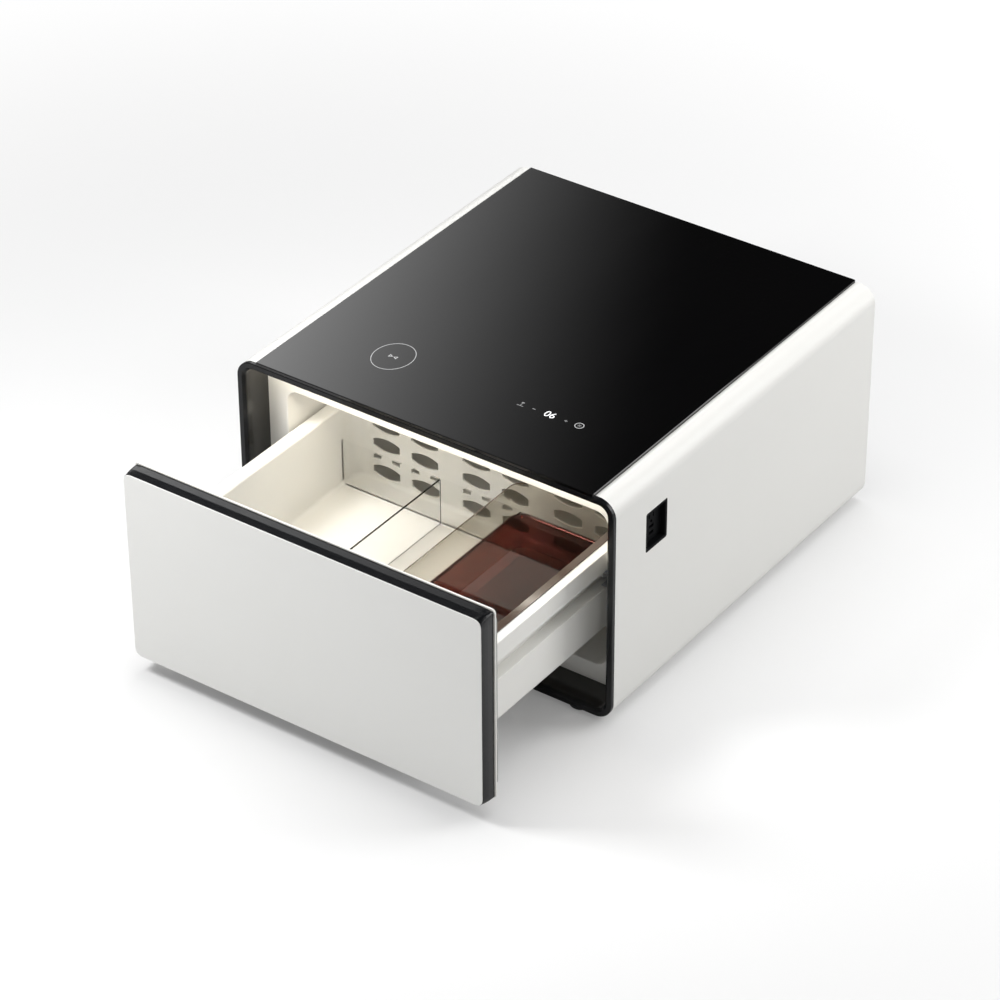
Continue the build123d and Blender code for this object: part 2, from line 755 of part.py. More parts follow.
def fan_rotor(middle, distance, level, radius, depth):
    """A hub with pitched blades, bored to run on the shroud's shaft."""
    rotor_near = distance + fan_strut_depth + touch_gap
    rotor_depth = depth - fan_strut_depth - 2 * touch_gap
    hub_radius = hub_share * radius
    blade_length = radius - blade_tip_gap - hub_radius
    with BuildSketch(at_distance(rotor_near + rotor_depth)) as section:
        with Locations((middle, cabinet_bottom + level)):
            Circle(hub_radius)
    extrude(section.sketch, amount=rotor_depth)
    rotor_plane = at_distance(rotor_near + rotor_depth / 2)
    hub_centre = rotor_plane.from_local_coords((middle, cabinet_bottom + level, 0))
    with Locations(Plane(origin=hub_centre, x_dir=(1, 0, 0), z_dir=(0, -1, 0))):
        with PolarLocations(hub_radius + blade_length / 2 - fan_wall / 2, fan_blades):
            Box(blade_length + fan_wall, rotor_depth, fan_blade_thickness, rotation=(fan_blade_pitch, 0, 0))
    with BuildSketch(at_distance(rotor_near + rotor_depth + overrun)) as section:
        with Locations((middle, cabinet_bottom + level)):
            Circle(fan_shaft_radius + running_clearance)
    extrude(section.sketch, amount=rotor_depth + 2 * overrun, mode=Mode.SUBTRACT)


evap_fan_distance = evap_cover_front + evap_cover_thickness
evap_fan_depth = 22
with BuildPart() as evaporator_fan_shroud:
    fan_shroud(0, evap_fan_distance, evap_fan_level, evap_opening_radius, evap_fan_depth)
evaporator_fan_shroud.part.label = "evaporator_fan_shroud"
export_step(evaporator_fan_shroud.part, "parts/evaporator_fan_shroud.step")

with BuildPart() as evaporator_fan_rotor:
    fan_rotor(0, evap_fan_distance, evap_fan_level, evap_opening_radius, evap_fan_depth)
evaporator_fan_rotor.part.label = "evaporator_fan_rotor"
export_step(evaporator_fan_rotor.part, "parts/evaporator_fan_rotor.step")

cond_fan_depth = 28
cond_fan_distance = cover_front - cond_fan_depth
cond_fan_radius = 68
cond_fan_level = 175
with BuildPart() as condenser_fan_shroud:
    fan_shroud(condenser_x, cond_fan_distance, cond_fan_level, cond_fan_radius, cond_fan_depth)
condenser_fan_shroud.part.label = "condenser_fan_shroud"
export_step(condenser_fan_shroud.part, "parts/condenser_fan_shroud.step")

with BuildPart() as condenser_fan_rotor:
    fan_rotor(condenser_x, cond_fan_distance, cond_fan_level, cond_fan_radius, cond_fan_depth)
condenser_fan_rotor.part.label = "condenser_fan_rotor"
export_step(condenser_fan_rotor.part, "parts/condenser_fan_rotor.step")

# Suction pipe from the cold space back to the compressor
suction_near = evaporator_distance + coil_tube_radius
suction_bend = 16

with BuildPart() as suction_pipe:
    with BuildLine(at_side(suction_x)) as suction_path:
        FilletPolyline(
            (front_y + suction_near, cabinet_bottom + suction_level),
            (front_y + compressor_distance, cabinet_bottom + suction_level),
            (front_y + compressor_distance, cabinet_bottom + suction_join_level),
            radius=suction_bend,
        )
    with BuildSketch(Plane(origin=suction_path.line @ 0, z_dir=suction_path.line % 0)):
        Circle(suction_radius)
    sweep(path=suction_path.line)
suction_pipe.part.label = "suction_pipe"
export_step(suction_pipe.part, "parts/suction_pipe.step")

# Discharge pipe from the compressor's side to the condenser
discharge_x = compressor_x + compressor_radius
discharge_distance = compressor_distance - compressor_radius + suction_bend
discharge_end_x = condenser_x - condenser_half_width

with BuildPart() as discharge_pipe:
    with BuildLine(at_level(condenser_tube_low)) as discharge_path:
        FilletPolyline(
            (discharge_x - touch_gap, front_y + compressor_distance),
            (discharge_x + 2 * suction_bend, front_y + compressor_distance),
            (discharge_x + 2 * suction_bend, front_y + discharge_distance),
            (discharge_end_x - 2 * suction_bend, front_y + discharge_distance),
            (discharge_end_x - 2 * suction_bend, front_y + condenser_distance),
            (discharge_end_x, front_y + condenser_distance),
            radius=suction_bend - touch_gap,
        )
    with BuildSketch(Plane(origin=discharge_path.line @ 0, z_dir=discharge_path.line % 0)):
        Circle(suction_radius)
    sweep(path=discharge_path.line)
    with BuildSketch(at_level(compressor_bottom)):
        with Locations(compressor_place):
            Circle(compressor_radius)
    extrude(amount=compressor_height, mode=Mode.SUBTRACT)
discharge_pipe.part.label = "discharge_pipe"
export_step(discharge_pipe.part, "parts/discharge_pipe.step")

# Power supply on the base plate and control board on the bulkhead
supply_x = (compressor_x + condenser_x) / 2
supply_width = 120
supply_length = 46
supply_height = 40
supply_gap = 4
supply_edge = 3

with BuildPart() as power_supply:
    with BuildSketch(at_level(base_top)):
        level_box(supply_x - supply_width / 2, supply_x + supply_width / 2,
                  bulkhead_back + supply_gap, bulkhead_back + supply_gap + supply_length)
    extrude(amount=supply_height)
    fillet(power_supply.edges().filter_by(Axis.Z), radius=supply_edge)
power_supply.part.label = "power_supply"
export_step(power_supply.part, "parts/power_supply.step")

control_x = supply_x
control_drop = 50
control_height = 100
control_width = 170
control_high = inner_top - control_drop
control_low = control_high - control_height
standoff_radius = 4
standoff_length = 6
standoff_inset = 8
relay_size = 18
relay_pitch = 34
relay_count = 4
control_plate_back = bulkhead_back + standoff_length + board_thickness
control_middle = cabinet_bottom + (control_low + control_high) / 2

with BuildPart() as control_board:
    with BuildSketch(at_distance(control_plate_back)):
        upright_box(control_x - control_width / 2, control_x + control_width / 2, control_low, control_high)
    extrude(amount=board_thickness)
    with BuildSketch(at_distance(bulkhead_back + standoff_length)):
        with Locations((control_x, control_middle)):
            with GridLocations(control_width - 2 * standoff_inset,
                               control_high - control_low - 2 * standoff_inset, 2, 2):
                Circle(standoff_radius)
    extrude(amount=standoff_length)
    with BuildSketch(at_distance(control_plate_back + relay_size)):
        with Locations((control_x, control_middle)):
            with GridLocations(relay_pitch, 0, relay_count, 1):
                Rectangle(relay_size, relay_size)
    extrude(amount=relay_size)
control_board.part.label = "control_board"
export_step(control_board.part, "parts/control_board.step")

# Levelling feet
foot_radius = 22
foot_pad_height = 7
foot_neck_radius = 12
foot_stem_top = 9
foot_pad_edge = 1.5


def levelling_foot(place):
    """One foot: a round pad on the floor, a neck and a stem into the cabinet."""
    with BuildSketch(Plane.XY) as section:
        with Locations(place):
            Circle(foot_radius)
    extrude(section.sketch, amount=foot_pad_height)
    with BuildSketch(Plane.XY.offset(foot_pad_height)) as section:
        with Locations(place):
            Circle(foot_neck_radius)
    extrude(section.sketch, amount=foot_height - foot_pad_height)
    with BuildSketch(Plane.XY.offset(foot_height)) as section:
        with Locations(place):
            Circle(foot_stem_radius)
    extrude(section.sketch, amount=foot_stem_top)


with BuildPart() as foot_front_left:
    levelling_foot(foot_places[0])
    fillet(foot_front_left.faces().sort_by(Axis.Z)[0].edges(), radius=foot_pad_edge)
foot_front_left.part.label = "foot_front_left"
export_step(foot_front_left.part, "parts/foot_front_left.step")

with BuildPart() as foot_front_right:
    levelling_foot(foot_places[1])
    fillet(foot_front_right.faces().sort_by(Axis.Z)[0].edges(), radius=foot_pad_edge)
foot_front_right.part.label = "foot_front_right"
export_step(foot_front_right.part, "parts/foot_front_right.step")

with BuildPart() as foot_back_left:
    levelling_foot(foot_places[2])
    fillet(foot_back_left.faces().sort_by(Axis.Z)[0].edges(), radius=foot_pad_edge)
foot_back_left.part.label = "foot_back_left"
export_step(foot_back_left.part, "parts/foot_back_left.step")

with BuildPart() as foot_back_right:
    levelling_foot(foot_places[3])
    fillet(foot_back_right.faces().sort_by(Axis.Z)[0].edges(), radius=foot_pad_edge)
foot_back_right.part.label = "foot_back_right"
export_step(foot_back_right.part, "parts/foot_back_right.step")

# Drawer front: a white panel, a dark trim ring round a foam core, and a back plate
panel_side_gap = 10.5
panel_low_gap = 10.8
panel_high_gap = 28.2
panel_width = opening_width - 2 * panel_side_gap
panel_bottom = opening_bottom + panel_low_gap
panel_top = opening_top - panel_high_gap
panel_radius = 12
panel_thickness = 1.5
panel_edge = 0.6
trim_wall = 12
trim_back = 35.5
trim_back_radius = 3
trim_flare = 2
trim_crown = 1.2
plate_overhang = 2.5
plate_thickness = 4
plate_back = trim_back + plate_thickness
plate_radius = 8
plate_edge = 1

with BuildPart() as front_panel:
    with BuildSketch(at_drawer(panel_thickness)):
        upright_rectangle(panel_width, panel_bottom, panel_top, panel_radius)
    extrude(amount=panel_thickness)
    fillet(front_panel.faces().sort_by(Axis.Y)[0].edges(), radius=panel_edge)
front_panel.part.label = "front_panel"
export_step(front_panel.part, "parts/front_panel.step")

core_width = panel_width - 2 * trim_wall
core_bottom = panel_bottom + trim_wall
core_top = panel_top - trim_wall
trim_middle = (panel_thickness + trim_back) / 2

with BuildPart() as front_trim:
    with BuildSketch(at_drawer(panel_thickness)):
        upright_rectangle(panel_width, panel_bottom, panel_top, panel_radius)
    with BuildSketch(at_drawer(trim_middle)):
        upright_rectangle(panel_width + trim_flare + trim_crown, panel_bottom - trim_crown,
                          panel_top + trim_crown, (panel_radius + trim_back_radius) / 2)
    with BuildSketch(at_drawer(trim_back)):
        upright_rectangle(panel_width + 2 * trim_flare, panel_bottom, panel_top, trim_back_radius)
    loft()
    with BuildSketch(at_drawer(trim_back)):
        upright_rectangle(core_width, core_bottom, core_top, trim_back_radius)
    extrude(amount=trim_back - panel_thickness, mode=Mode.SUBTRACT)
front_trim.part.label = "front_trim"
export_step(front_trim.part, "parts/front_trim.step")

with BuildPart() as front_core:
    with BuildSketch(at_drawer(trim_back)):
        upright_rectangle(core_width, core_bottom, core_top, trim_back_radius)
    extrude(amount=trim_back - panel_thickness)
front_core.part.label = "front_core"
export_step(front_core.part, "parts/front_core.step")

# Main sizes of the tub, which the screw holes of the drawer front follow
tub_side_gap = 8
channel_inset = 24
channel_half_height = 19
channel_wall = 3
lower_wall_inset = 2
under_tub_share = 0.44
tub_floor_thickness = 4
tub_half_width = cavity_width / 2 - tub_side_gap
channel_half_width = tub_half_width - channel_inset
lower_half_width = tub_half_width - lower_wall_inset
tub_inner_half_width = channel_half_width - channel_wall
skirt_bottom = rail_middle_level + channel_half_height
channel_bottom = rail_middle_level - channel_half_height
tub_bottom = cavity_bottom + under_tub_share * (channel_bottom - cavity_bottom)
tub_floor = tub_bottom + tub_floor_thickness
tub_screw_inset = 8
tub_screw_rise = 28
tub_screw_drop = 19
tub_screw_low = tub_bottom + tub_screw_rise
tub_screw_high = tub_rim - tub_screw_drop
tub_screw_x = tub_inner_half_width + tub_screw_inset
tub_screw_places = [
    (-tub_screw_x, cabinet_bottom + tub_screw_low),
    (tub_screw_x, cabinet_bottom + tub_screw_low),
    (-tub_screw_x, cabinet_bottom + tub_screw_high),
    (tub_screw_x, cabinet_bottom + tub_screw_high),
]
tub_screw_length = 20

with BuildPart() as front_back_plate:
    with BuildSketch(at_drawer(plate_back)):
        upright_rectangle(panel_width + 2 * plate_overhang, panel_bottom - plate_overhang,
                          panel_top + plate_overhang, plate_radius)
    extrude(amount=plate_thickness)
    fillet(front_back_plate.faces().sort_by(Axis.Y)[-1].edges(), radius=plate_edge)
    with BuildSketch(at_drawer(plate_back)):
        with Locations(*tub_screw_places):
            Circle(screw_radius)
    extrude(amount=plate_thickness, mode=Mode.SUBTRACT)
front_back_plate.part.label = "front_back_plate"
export_step(front_back_plate.part, "parts/front_back_plate.step")

# Magnetic gasket on the back plate, ribbed like a bellows
gasket_side_reach = 26
gasket_low_reach = 22
gasket_high_reach = 27
gasket_width = cavity_width + 2 * gasket_side_reach
gasket_bottom = cavity_bottom - gasket_low_reach
gasket_top = cavity_top + gasket_high_reach
gasket_bar = 18
gasket_radius = 22
gasket_thickness = 14
gasket_neck = 4
gasket_groove = 4
gasket_inner_radius = gasket_radius - gasket_bar

with BuildPart() as drawer_gasket:
    with BuildSketch(at_drawer(plate_back + gasket_thickness)):
        upright_rectangle(gasket_width, gasket_bottom, gasket_top, gasket_radius)
        upright_rectangle(gasket_width - 2 * gasket_bar, gasket_bottom + gasket_bar,
                          gasket_top - gasket_bar, gasket_inner_radius, mode=Mode.SUBTRACT)
    extrude(amount=gasket_thickness)
    with BuildSketch(at_drawer(plate_back + gasket_neck + gasket_groove)):
        upright_rectangle(gasket_width + 2 * overrun, gasket_bottom - overrun,
                          gasket_top + overrun, gasket_radius + overrun)
        upright_rectangle(gasket_width - 2 * gasket_neck, gasket_bottom + gasket_neck,
                          gasket_top - gasket_neck, gasket_radius - gasket_neck, mode=Mode.SUBTRACT)
    extrude(amount=gasket_groove, mode=Mode.SUBTRACT)
drawer_gasket.part.label = "drawer_gasket"
export_step(drawer_gasket.part, "parts/drawer_gasket.step")

# Drawer tub: double side walls with an open roller channel along each side
tub_front_wall = 12
tub_back_wall = 4
tub_rear_gap = 33.5
tub_length = evap_cover_front - plate_back - tub_rear_gap
tub_inner_radius = 30
tub_floor_radius = 8
tub_bottom_radius = 12
tub_rim_round = 5
tub_rim_edge = 1.5
tub_back = plate_back + tub_length

vent_margin = 35
column_half_share = 0.215
lens_width_share = 0.3
wedge_width_share = 0.3
lens_level_shares = [0.736, 0.485, 0.13]
wedge_level_share = 0.307
lens_middle_height = 28
lens_end_height = 14
wedge_outer_height = 13
wedge_inner_height = 8
column_pair_spacing = (tub_inner_half_width - vent_margin) / (1 + column_half_share + lens_width_share / 2)
column_half_spacing = column_half_share * column_pair_spacing
lens_width = lens_width_share * column_pair_spacing
wedge_width = wedge_width_share * lens_width
vent_columns = [
    pair * column_pair_spacing + side * column_half_spacing
    for pair in (-1, 0, 1)
    for side in (-1, 1)
]


def vent_height(level_share):
    """A height in the vent wall, as a share of the way from the tub's floor to its rim."""
    return cabinet_bottom + tub_floor + level_share * (tub_rim - tub_floor)


def lens_slot(middle, level_share):
    """A barrel-shaped slot: straight ends, bowed top and bottom."""
    height = vent_height(level_share)
    with BuildLine() as outline:
        ThreePointArc(
            (middle - lens_width / 2, height + lens_end_height / 2),
            (middle, height + lens_middle_height / 2),
            (middle + lens_width / 2, height + lens_end_height / 2),
        )
        Line(
            (middle + lens_width / 2, height + lens_end_height / 2),
            (middle + lens_width / 2, height - lens_end_height / 2),
        )
        ThreePointArc(
            (middle + lens_width / 2, height - lens_end_height / 2),
            (middle, height - lens_middle_height / 2),
            (middle - lens_width / 2, height - lens_end_height / 2),
        )
        Line(
            (middle - lens_width / 2, height - lens_end_height / 2),
            (middle - lens_width / 2, height + lens_end_height / 2),
        )
    make_face(outline.edges())


def wedge_slots(middle, level_share):
    """Two small wedges that fill the corners between two rows of slots."""
    height = vent_height(level_share)
    for side in (-1, 1):
        outer = middle + side * lens_width / 2
        inner = outer - side * wedge_width
        with BuildLine() as outline:
            Polyline(
                (outer, height - wedge_outer_height / 2),
                (outer, height + wedge_outer_height / 2),
                (inner, height + wedge_inner_height / 2),
                (inner, height - wedge_inner_height / 2),
                close=True,
            )
        make_face(outline.edges())


tub_profile = [
    (tub_half_width, cabinet_bottom + tub_rim),
    (tub_half_width, cabinet_bottom + skirt_bottom),
    (channel_half_width, cabinet_bottom + skirt_bottom),
    (channel_half_width, cabinet_bottom + channel_bottom),
    (lower_half_width, cabinet_bottom + channel_bottom),
    (lower_half_width, cabinet_bottom + tub_bottom),
]
mirrored_profile = [(-x, z) for x, z in reversed(tub_profile)]

with BuildPart() as drawer_tub:
    with BuildSketch(at_drawer(tub_back)):
        with BuildLine():
            Polyline(*tub_profile, *mirrored_profile, close=True)
        make_face()
    extrude(amount=tub_length)
    fillet(drawer_tub.faces().sort_by(Axis.Z)[0].edges().filter_by(Axis.Y), radius=tub_bottom_radius)
    with BuildSketch(at_level(tub_floor)):
        with Locations((0, front_y - pull_out + (plate_back + tub_front_wall + tub_back - tub_back_wall) / 2)):
            RectangleRounded(2 * tub_inner_half_width, tub_length - tub_front_wall - tub_back_wall,
                             tub_inner_radius)
    extrude(amount=tub_rim - tub_floor, mode=Mode.SUBTRACT)
    rim_face = drawer_tub.faces().filter_by(Axis.Z).sort_by(Axis.Z)[-1]
    fillet(rim_face.inner_wires()[0].edges(), radius=tub_rim_round)
    rim_face = drawer_tub.faces().filter_by(Axis.Z).sort_by(Axis.Z)[-1]
    fillet(rim_face.outer_wire().edges().filter_by(Axis.Y), radius=tub_rim_edge)
    floor_face = drawer_tub.faces().filter_by(Axis.Z).filter_by_position(
        Axis.Z, cabinet_bottom + tub_floor - touch_gap, cabinet_bottom + tub_floor + touch_gap)[0]
    fillet(floor_face.outer_wire().edges(), radius=tub_floor_radius)
    with BuildSketch(at_drawer(tub_back + overrun)):
        for column in vent_columns:
            for lens_level_share in lens_level_shares:
                lens_slot(column, lens_level_share)
            wedge_slots(column, wedge_level_share)
    extrude(amount=tub_back_wall + 2 * overrun, mode=Mode.SUBTRACT)
    with BuildSketch(at_drawer(plate_back + tub_screw_length - plate_thickness)):
        with Locations(*tub_screw_places):
            Circle(screw_radius)
    extrude(amount=tub_screw_length - plate_thickness, mode=Mode.SUBTRACT)
drawer_tub.part.label = "drawer_tub"
export_step(drawer_tub.part, "parts/drawer_tub.step")

with BuildPart() as tub_screws:
    with BuildSketch(at_drawer(plate_back + tub_screw_length - plate_thickness)):
        with Locations(*tub_screw_places):
            Circle(screw_radius)
    extrude(amount=tub_screw_length)
tub_screws.part.label = "tub_screws"
export_step(tub_screws.part, "parts/tub_screws.step")

# Clear dividers and the clear plate behind them
divider_offset = 88
divider_thickness = 4
tray_drop = 69
air_space_length = 52.5
divider_top = tub_rim - tray_drop
divider_back = tub_back - air_space_length
divider_front = plate_back + tub_front_wall
divider_lift = tub_floor_radius


def divider_plate(middle):
    """One clear plate that stands lengthwise in the tub."""
    with BuildSketch(at_side(middle - divider_thickness / 2)) as section:
        side_box(divider_front - pull_out, divider_back - pull_out, tub_floor, divider_top)
    extrude(section.sketch, amount=divider_thickness)


with BuildPart() as divider_left:
    divider_plate(-divider_offset)
    front_low = divider_left.edges().filter_by(Axis.X).sort_by(Axis.Z)[0:2].sort_by(Axis.Y)[0]
    chamfer(front_low, length=divider_lift)
divider_left.part.label = "divider_left"
export_step(divider_left.part, "parts/divider_left.step")

with BuildPart() as divider_right:
    divider_plate(divider_offset)
    front_low = divider_right.edges().filter_by(Axis.X).sort_by(Axis.Z)[0:2].sort_by(Axis.Y)[0]
    chamfer(front_low, length=divider_lift)
divider_right.part.label = "divider_right"
export_step(divider_right.part, "parts/divider_right.step")

with BuildPart() as divider_back_plate:
    with BuildSketch(at_drawer(divider_back + divider_thickness)):
        upright_box(-tub_inner_half_width, tub_inner_half_width, tub_floor, divider_top)
    extrude(amount=divider_thickness)
    low_edges = divider_back_plate.edges().filter_by(Axis.Y).group_by(Axis.Z)[0]
    chamfer(low_edges, length=divider_lift)
divider_back_plate.part.label = "divider_back_plate"
export_step(divider_back_plate.part, "parts/divider_back_plate.step")

# Smoky tray: it rests on the right divider and hangs on the tub's right rim
tray_left = divider_offset - divider_thickness / 2
tray_side_gap = 2
tray_lip_reach = 10
tray_lip_thickness = 2
tray_wall = 2.5
tray_radius = 28
tray_floor_radius = 3
tray_right = tub_inner_half_width - tray_side_gap
tray_lip_right = tub_inner_half_width + tray_lip_reach
tray_front = divider_front + divider_thickness
tray_back = divider_back - divider_thickness
tray_bottom = divider_top
tray_rim = tub_rim + tray_lip_thickness
tray_length = tray_back - tray_front
tray_width = tray_right - tray_left
tray_middle = (tray_left + tray_right) / 2
tray_centre_y = front_y - pull_out + (tray_front + tray_back) / 2

with BuildPart() as smoky_tray:
    with BuildSketch(at_level(tray_bottom)):
        with Locations((tray_middle, tray_centre_y)):
            RectangleRounded(tray_width, tray_length, tray_radius)
    extrude(amount=tray_rim - tray_bottom)
    with BuildSketch(at_level(tub_rim)):
        level_box(tray_middle, tray_lip_right, tray_front + tray_radius - pull_out,
                  tray_back - tray_radius - pull_out)
    extrude(amount=tray_lip_thickness)
    with BuildSketch(at_level(tray_bottom + tray_wall)):
        with Locations((tray_middle, tray_centre_y)):
            RectangleRounded(tray_width - 2 * tray_wall, tray_length - 2 * tray_wall, tray_radius - tray_wall)
    extrude(amount=tray_rim - tray_bottom - tray_wall + overrun, mode=Mode.SUBTRACT)
    tray_floor = smoky_tray.faces().filter_by(Axis.Z).filter_by_position(
        Axis.Z, cabinet_bottom + tray_bottom + touch_gap, cabinet_bottom + tray_bottom + 2 * tray_wall)[0]
    fillet(tray_floor.outer_wire().edges(), radius=tray_floor_radius)
smoky_tray.part.label = "smoky_tray"
export_step(smoky_tray.part, "parts/smoky_tray.step")

# Runner rails on the liner's walls, C-shaped, screwed through their webs
rail_height = 30
rail_steel = 1.5
rail_reach = 17
rail_bottom = rail_middle_level - rail_height / 2
rail_top = rail_middle_level + rail_height / 2
rail_outer = cavity_width / 2
rail_inner = rail_outer - rail_reach


def runner_rail(side):
    """One C rail: a web on the liner's wall and two flanges towards the tub."""
    web_low = min(side * rail_outer, side * (rail_outer - rail_steel))
    flange_low = min(side * rail_outer, side * rail_inner)
    with BuildSketch(at_side(web_low)) as section:
        side_box(rail_near, rail_far, rail_bottom, rail_top)
        for distance in rail_screw_distances:
            with Locations((front_y + distance, cabinet_bottom + rail_middle_level)):
                Circle(screw_radius, mode=Mode.SUBTRACT)
    extrude(section.sketch, amount=rail_steel)
    with BuildSketch(at_side(flange_low)) as section:
        side_box(rail_near, rail_far, rail_bottom, rail_bottom + rail_steel)
        side_box(rail_near, rail_far, rail_top - rail_steel, rail_top)
    extrude(section.sketch, amount=rail_reach)


with BuildPart() as rail_left:
    runner_rail(-1)
rail_left.part.label = "rail_left"
export_step(rail_left.part, "parts/rail_left.step")

with BuildPart() as rail_right:
    runner_rail(1)
rail_right.part.label = "rail_right"
export_step(rail_right.part, "parts/rail_right.step")

rail_screw_head = 4
rail_screw_head_height = 1

with BuildPart() as rail_screws:
    for side in (-1, 1):
        head_low = min(side * (rail_outer - rail_steel), side * (rail_outer - rail_steel - rail_screw_head_height))
        shank_low = min(side * (rail_outer - rail_steel), side * liner_width / 2)
        with BuildSketch(at_side(head_low)):
            for distance in rail_screw_distances:
                with Locations((front_y + distance, cabinet_bottom + rail_middle_level)):
                    Circle(rail_screw_head)
        extrude(amount=rail_screw_head_height)
        with BuildSketch(at_side(shank_low)):
            for distance in rail_screw_distances:
                with Locations((front_y + distance, cabinet_bottom + rail_middle_level)):
                    Circle(screw_radius)
        extrude(amount=rail_steel + liner_thickness)
rail_screws.part.label = "rail_screws"
export_step(rail_screws.part, "parts/rail_screws.step")

# Rollers: the front pair carries the tub's skirt, the back pair runs inside the rails
roller_width = 10
front_roller_radius = 14
front_roller_gap = 20
front_roller_side_gap = 3
front_roller_distance = rail_near + front_roller_gap
front_roller_inner = channel_half_width + front_roller_side_gap
front_roller_level = skirt_bottom - touch_gap - front_roller_radius
back_roller_radius = rail_height / 2 - rail_steel - touch_gap
back_roller_inset = 18
back_roller_side_gap = 2
back_roller_distance = tub_back - back_roller_inset
back_roller_inner = rail_inner + back_roller_side_gap
pin_head_radius = 5
pin_head_length = 1.5
bracket_plate = 2
bracket_half_length = 14
bracket_half_height = 14


def roller(side, inner, distance, level, radius):
    """A grooved roller, bored to turn on its pin."""
    with BuildSketch(at_side(min(side * inner, side * (inner + roller_width)))) as section:
        with Locations((front_y + distance, cabinet_bottom + level)):
            Circle(radius)
            Circle(pin_radius + running_clearance, mode=Mode.SUBTRACT)
    extrude(section.sketch, amount=roller_width)


def pin_length(side, inner, outer, distance, level, radius):
    """A round length of pin between two distances from the middle."""
    with BuildSketch(at_side(min(side * inner, side * outer))) as section:
        with Locations((front_y + distance, cabinet_bottom + level)):
            Circle(radius)
    extrude(section.sketch, amount=outer - inner)


with BuildPart() as roller_front_left:
    roller(-1, front_roller_inner, front_roller_distance, front_roller_level, front_roller_radius)
    fillet(roller_front_left.edges().filter_by(GeomType.CIRCLE).sort_by(SortBy.RADIUS)[-2:], radius=rail_steel)
roller_front_left.part.label = "roller_front_left"
export_step(roller_front_left.part, "parts/roller_front_left.step")

with BuildPart() as roller_front_right:
    roller(1, front_roller_inner, front_roller_distance, front_roller_level, front_roller_radius)
    fillet(roller_front_right.edges().filter_by(GeomType.CIRCLE).sort_by(SortBy.RADIUS)[-2:], radius=rail_steel)
roller_front_right.part.label = "roller_front_right"
export_step(roller_front_right.part, "parts/roller_front_right.step")

with BuildPart() as roller_back_left:
    roller(-1, back_roller_inner, back_roller_distance - pull_out, rail_middle_level, back_roller_radius)
    fillet(roller_back_left.edges().filter_by(GeomType.CIRCLE).sort_by(SortBy.RADIUS)[-2:], radius=rail_steel)
roller_back_left.part.label = "roller_back_left"
export_step(roller_back_left.part, "parts/roller_back_left.step")

with BuildPart() as roller_back_right:
    roller(1, back_roller_inner, back_roller_distance - pull_out, rail_middle_level, back_roller_radius)
    fillet(roller_back_right.edges().filter_by(GeomType.CIRCLE).sort_by(SortBy.RADIUS)[-2:], radius=rail_steel)
roller_back_right.part.label = "roller_back_right"
export_step(roller_back_right.part, "parts/roller_back_right.step")

with BuildPart() as front_roller_pins:
    for side in (-1, 1):
        pin_length(side, front_roller_inner - touch_gap, rail_outer - rail_steel,
                   front_roller_distance, front_roller_level, pin_radius)
        pin_length(side, front_roller_inner - touch_gap - pin_head_length, front_roller_inner - touch_gap,
                   front_roller_distance, front_roller_level, pin_head_radius)
        pin_length(side, front_roller_inner + roller_width + touch_gap, rail_outer - rail_steel,
                   front_roller_distance, front_roller_level, pin_head_radius)
front_roller_pins.part.label = "front_roller_pins"
export_step(front_roller_pins.part, "parts/front_roller_pins.step")

with BuildPart() as back_roller_brackets:
    for side in (-1, 1):
        plate_low = min(side * channel_half_width, side * (channel_half_width + bracket_plate))
        with BuildSketch(at_side(plate_low)):
            with Locations((front_y - pull_out + back_roller_distance, cabinet_bottom + rail_middle_level)):
                Rectangle(2 * bracket_half_length, 2 * bracket_half_height)
        extrude(amount=bracket_plate)
        pin_length(side, channel_half_width + bracket_plate, back_roller_inner - touch_gap,
                   back_roller_distance - pull_out, rail_middle_level, pin_head_radius)
        pin_length(side, back_roller_inner - touch_gap, back_roller_inner + roller_width + touch_gap,
                   back_roller_distance - pull_out, rail_middle_level, pin_radius)
        pin_length(side, back_roller_inner + roller_width + touch_gap,
                   back_roller_inner + roller_width + touch_gap + pin_head_length,
                   back_roller_distance - pull_out, rail_middle_level, pin_head_radius)
back_roller_brackets.part.label = "back_roller_brackets"
export_step(back_roller_brackets.part, "parts/back_roller_brackets.step")
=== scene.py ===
import json
import math

import bpy
from mathutils import Matrix, Vector


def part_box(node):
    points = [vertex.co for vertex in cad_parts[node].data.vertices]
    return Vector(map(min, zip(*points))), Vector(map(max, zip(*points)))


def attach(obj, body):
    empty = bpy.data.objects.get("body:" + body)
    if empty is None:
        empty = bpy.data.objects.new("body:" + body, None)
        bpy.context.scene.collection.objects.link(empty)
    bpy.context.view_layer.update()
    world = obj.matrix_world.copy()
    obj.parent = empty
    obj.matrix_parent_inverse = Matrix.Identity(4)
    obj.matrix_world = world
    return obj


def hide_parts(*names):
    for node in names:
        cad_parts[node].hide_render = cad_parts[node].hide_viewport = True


# A chilled side table with its drawer pulled out: looks, light and camera

# Metres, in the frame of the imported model. -Y is the drawer's front, +Z is up.
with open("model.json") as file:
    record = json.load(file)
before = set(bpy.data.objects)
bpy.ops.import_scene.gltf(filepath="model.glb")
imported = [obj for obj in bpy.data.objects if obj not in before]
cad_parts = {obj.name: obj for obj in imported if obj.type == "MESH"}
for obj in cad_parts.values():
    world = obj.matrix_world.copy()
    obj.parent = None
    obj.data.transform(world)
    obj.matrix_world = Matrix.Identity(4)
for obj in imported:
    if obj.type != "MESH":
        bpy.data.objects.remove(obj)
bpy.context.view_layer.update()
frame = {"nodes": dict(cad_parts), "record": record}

MM = 0.001
MICRON = 0.000001
TURN = math.tau

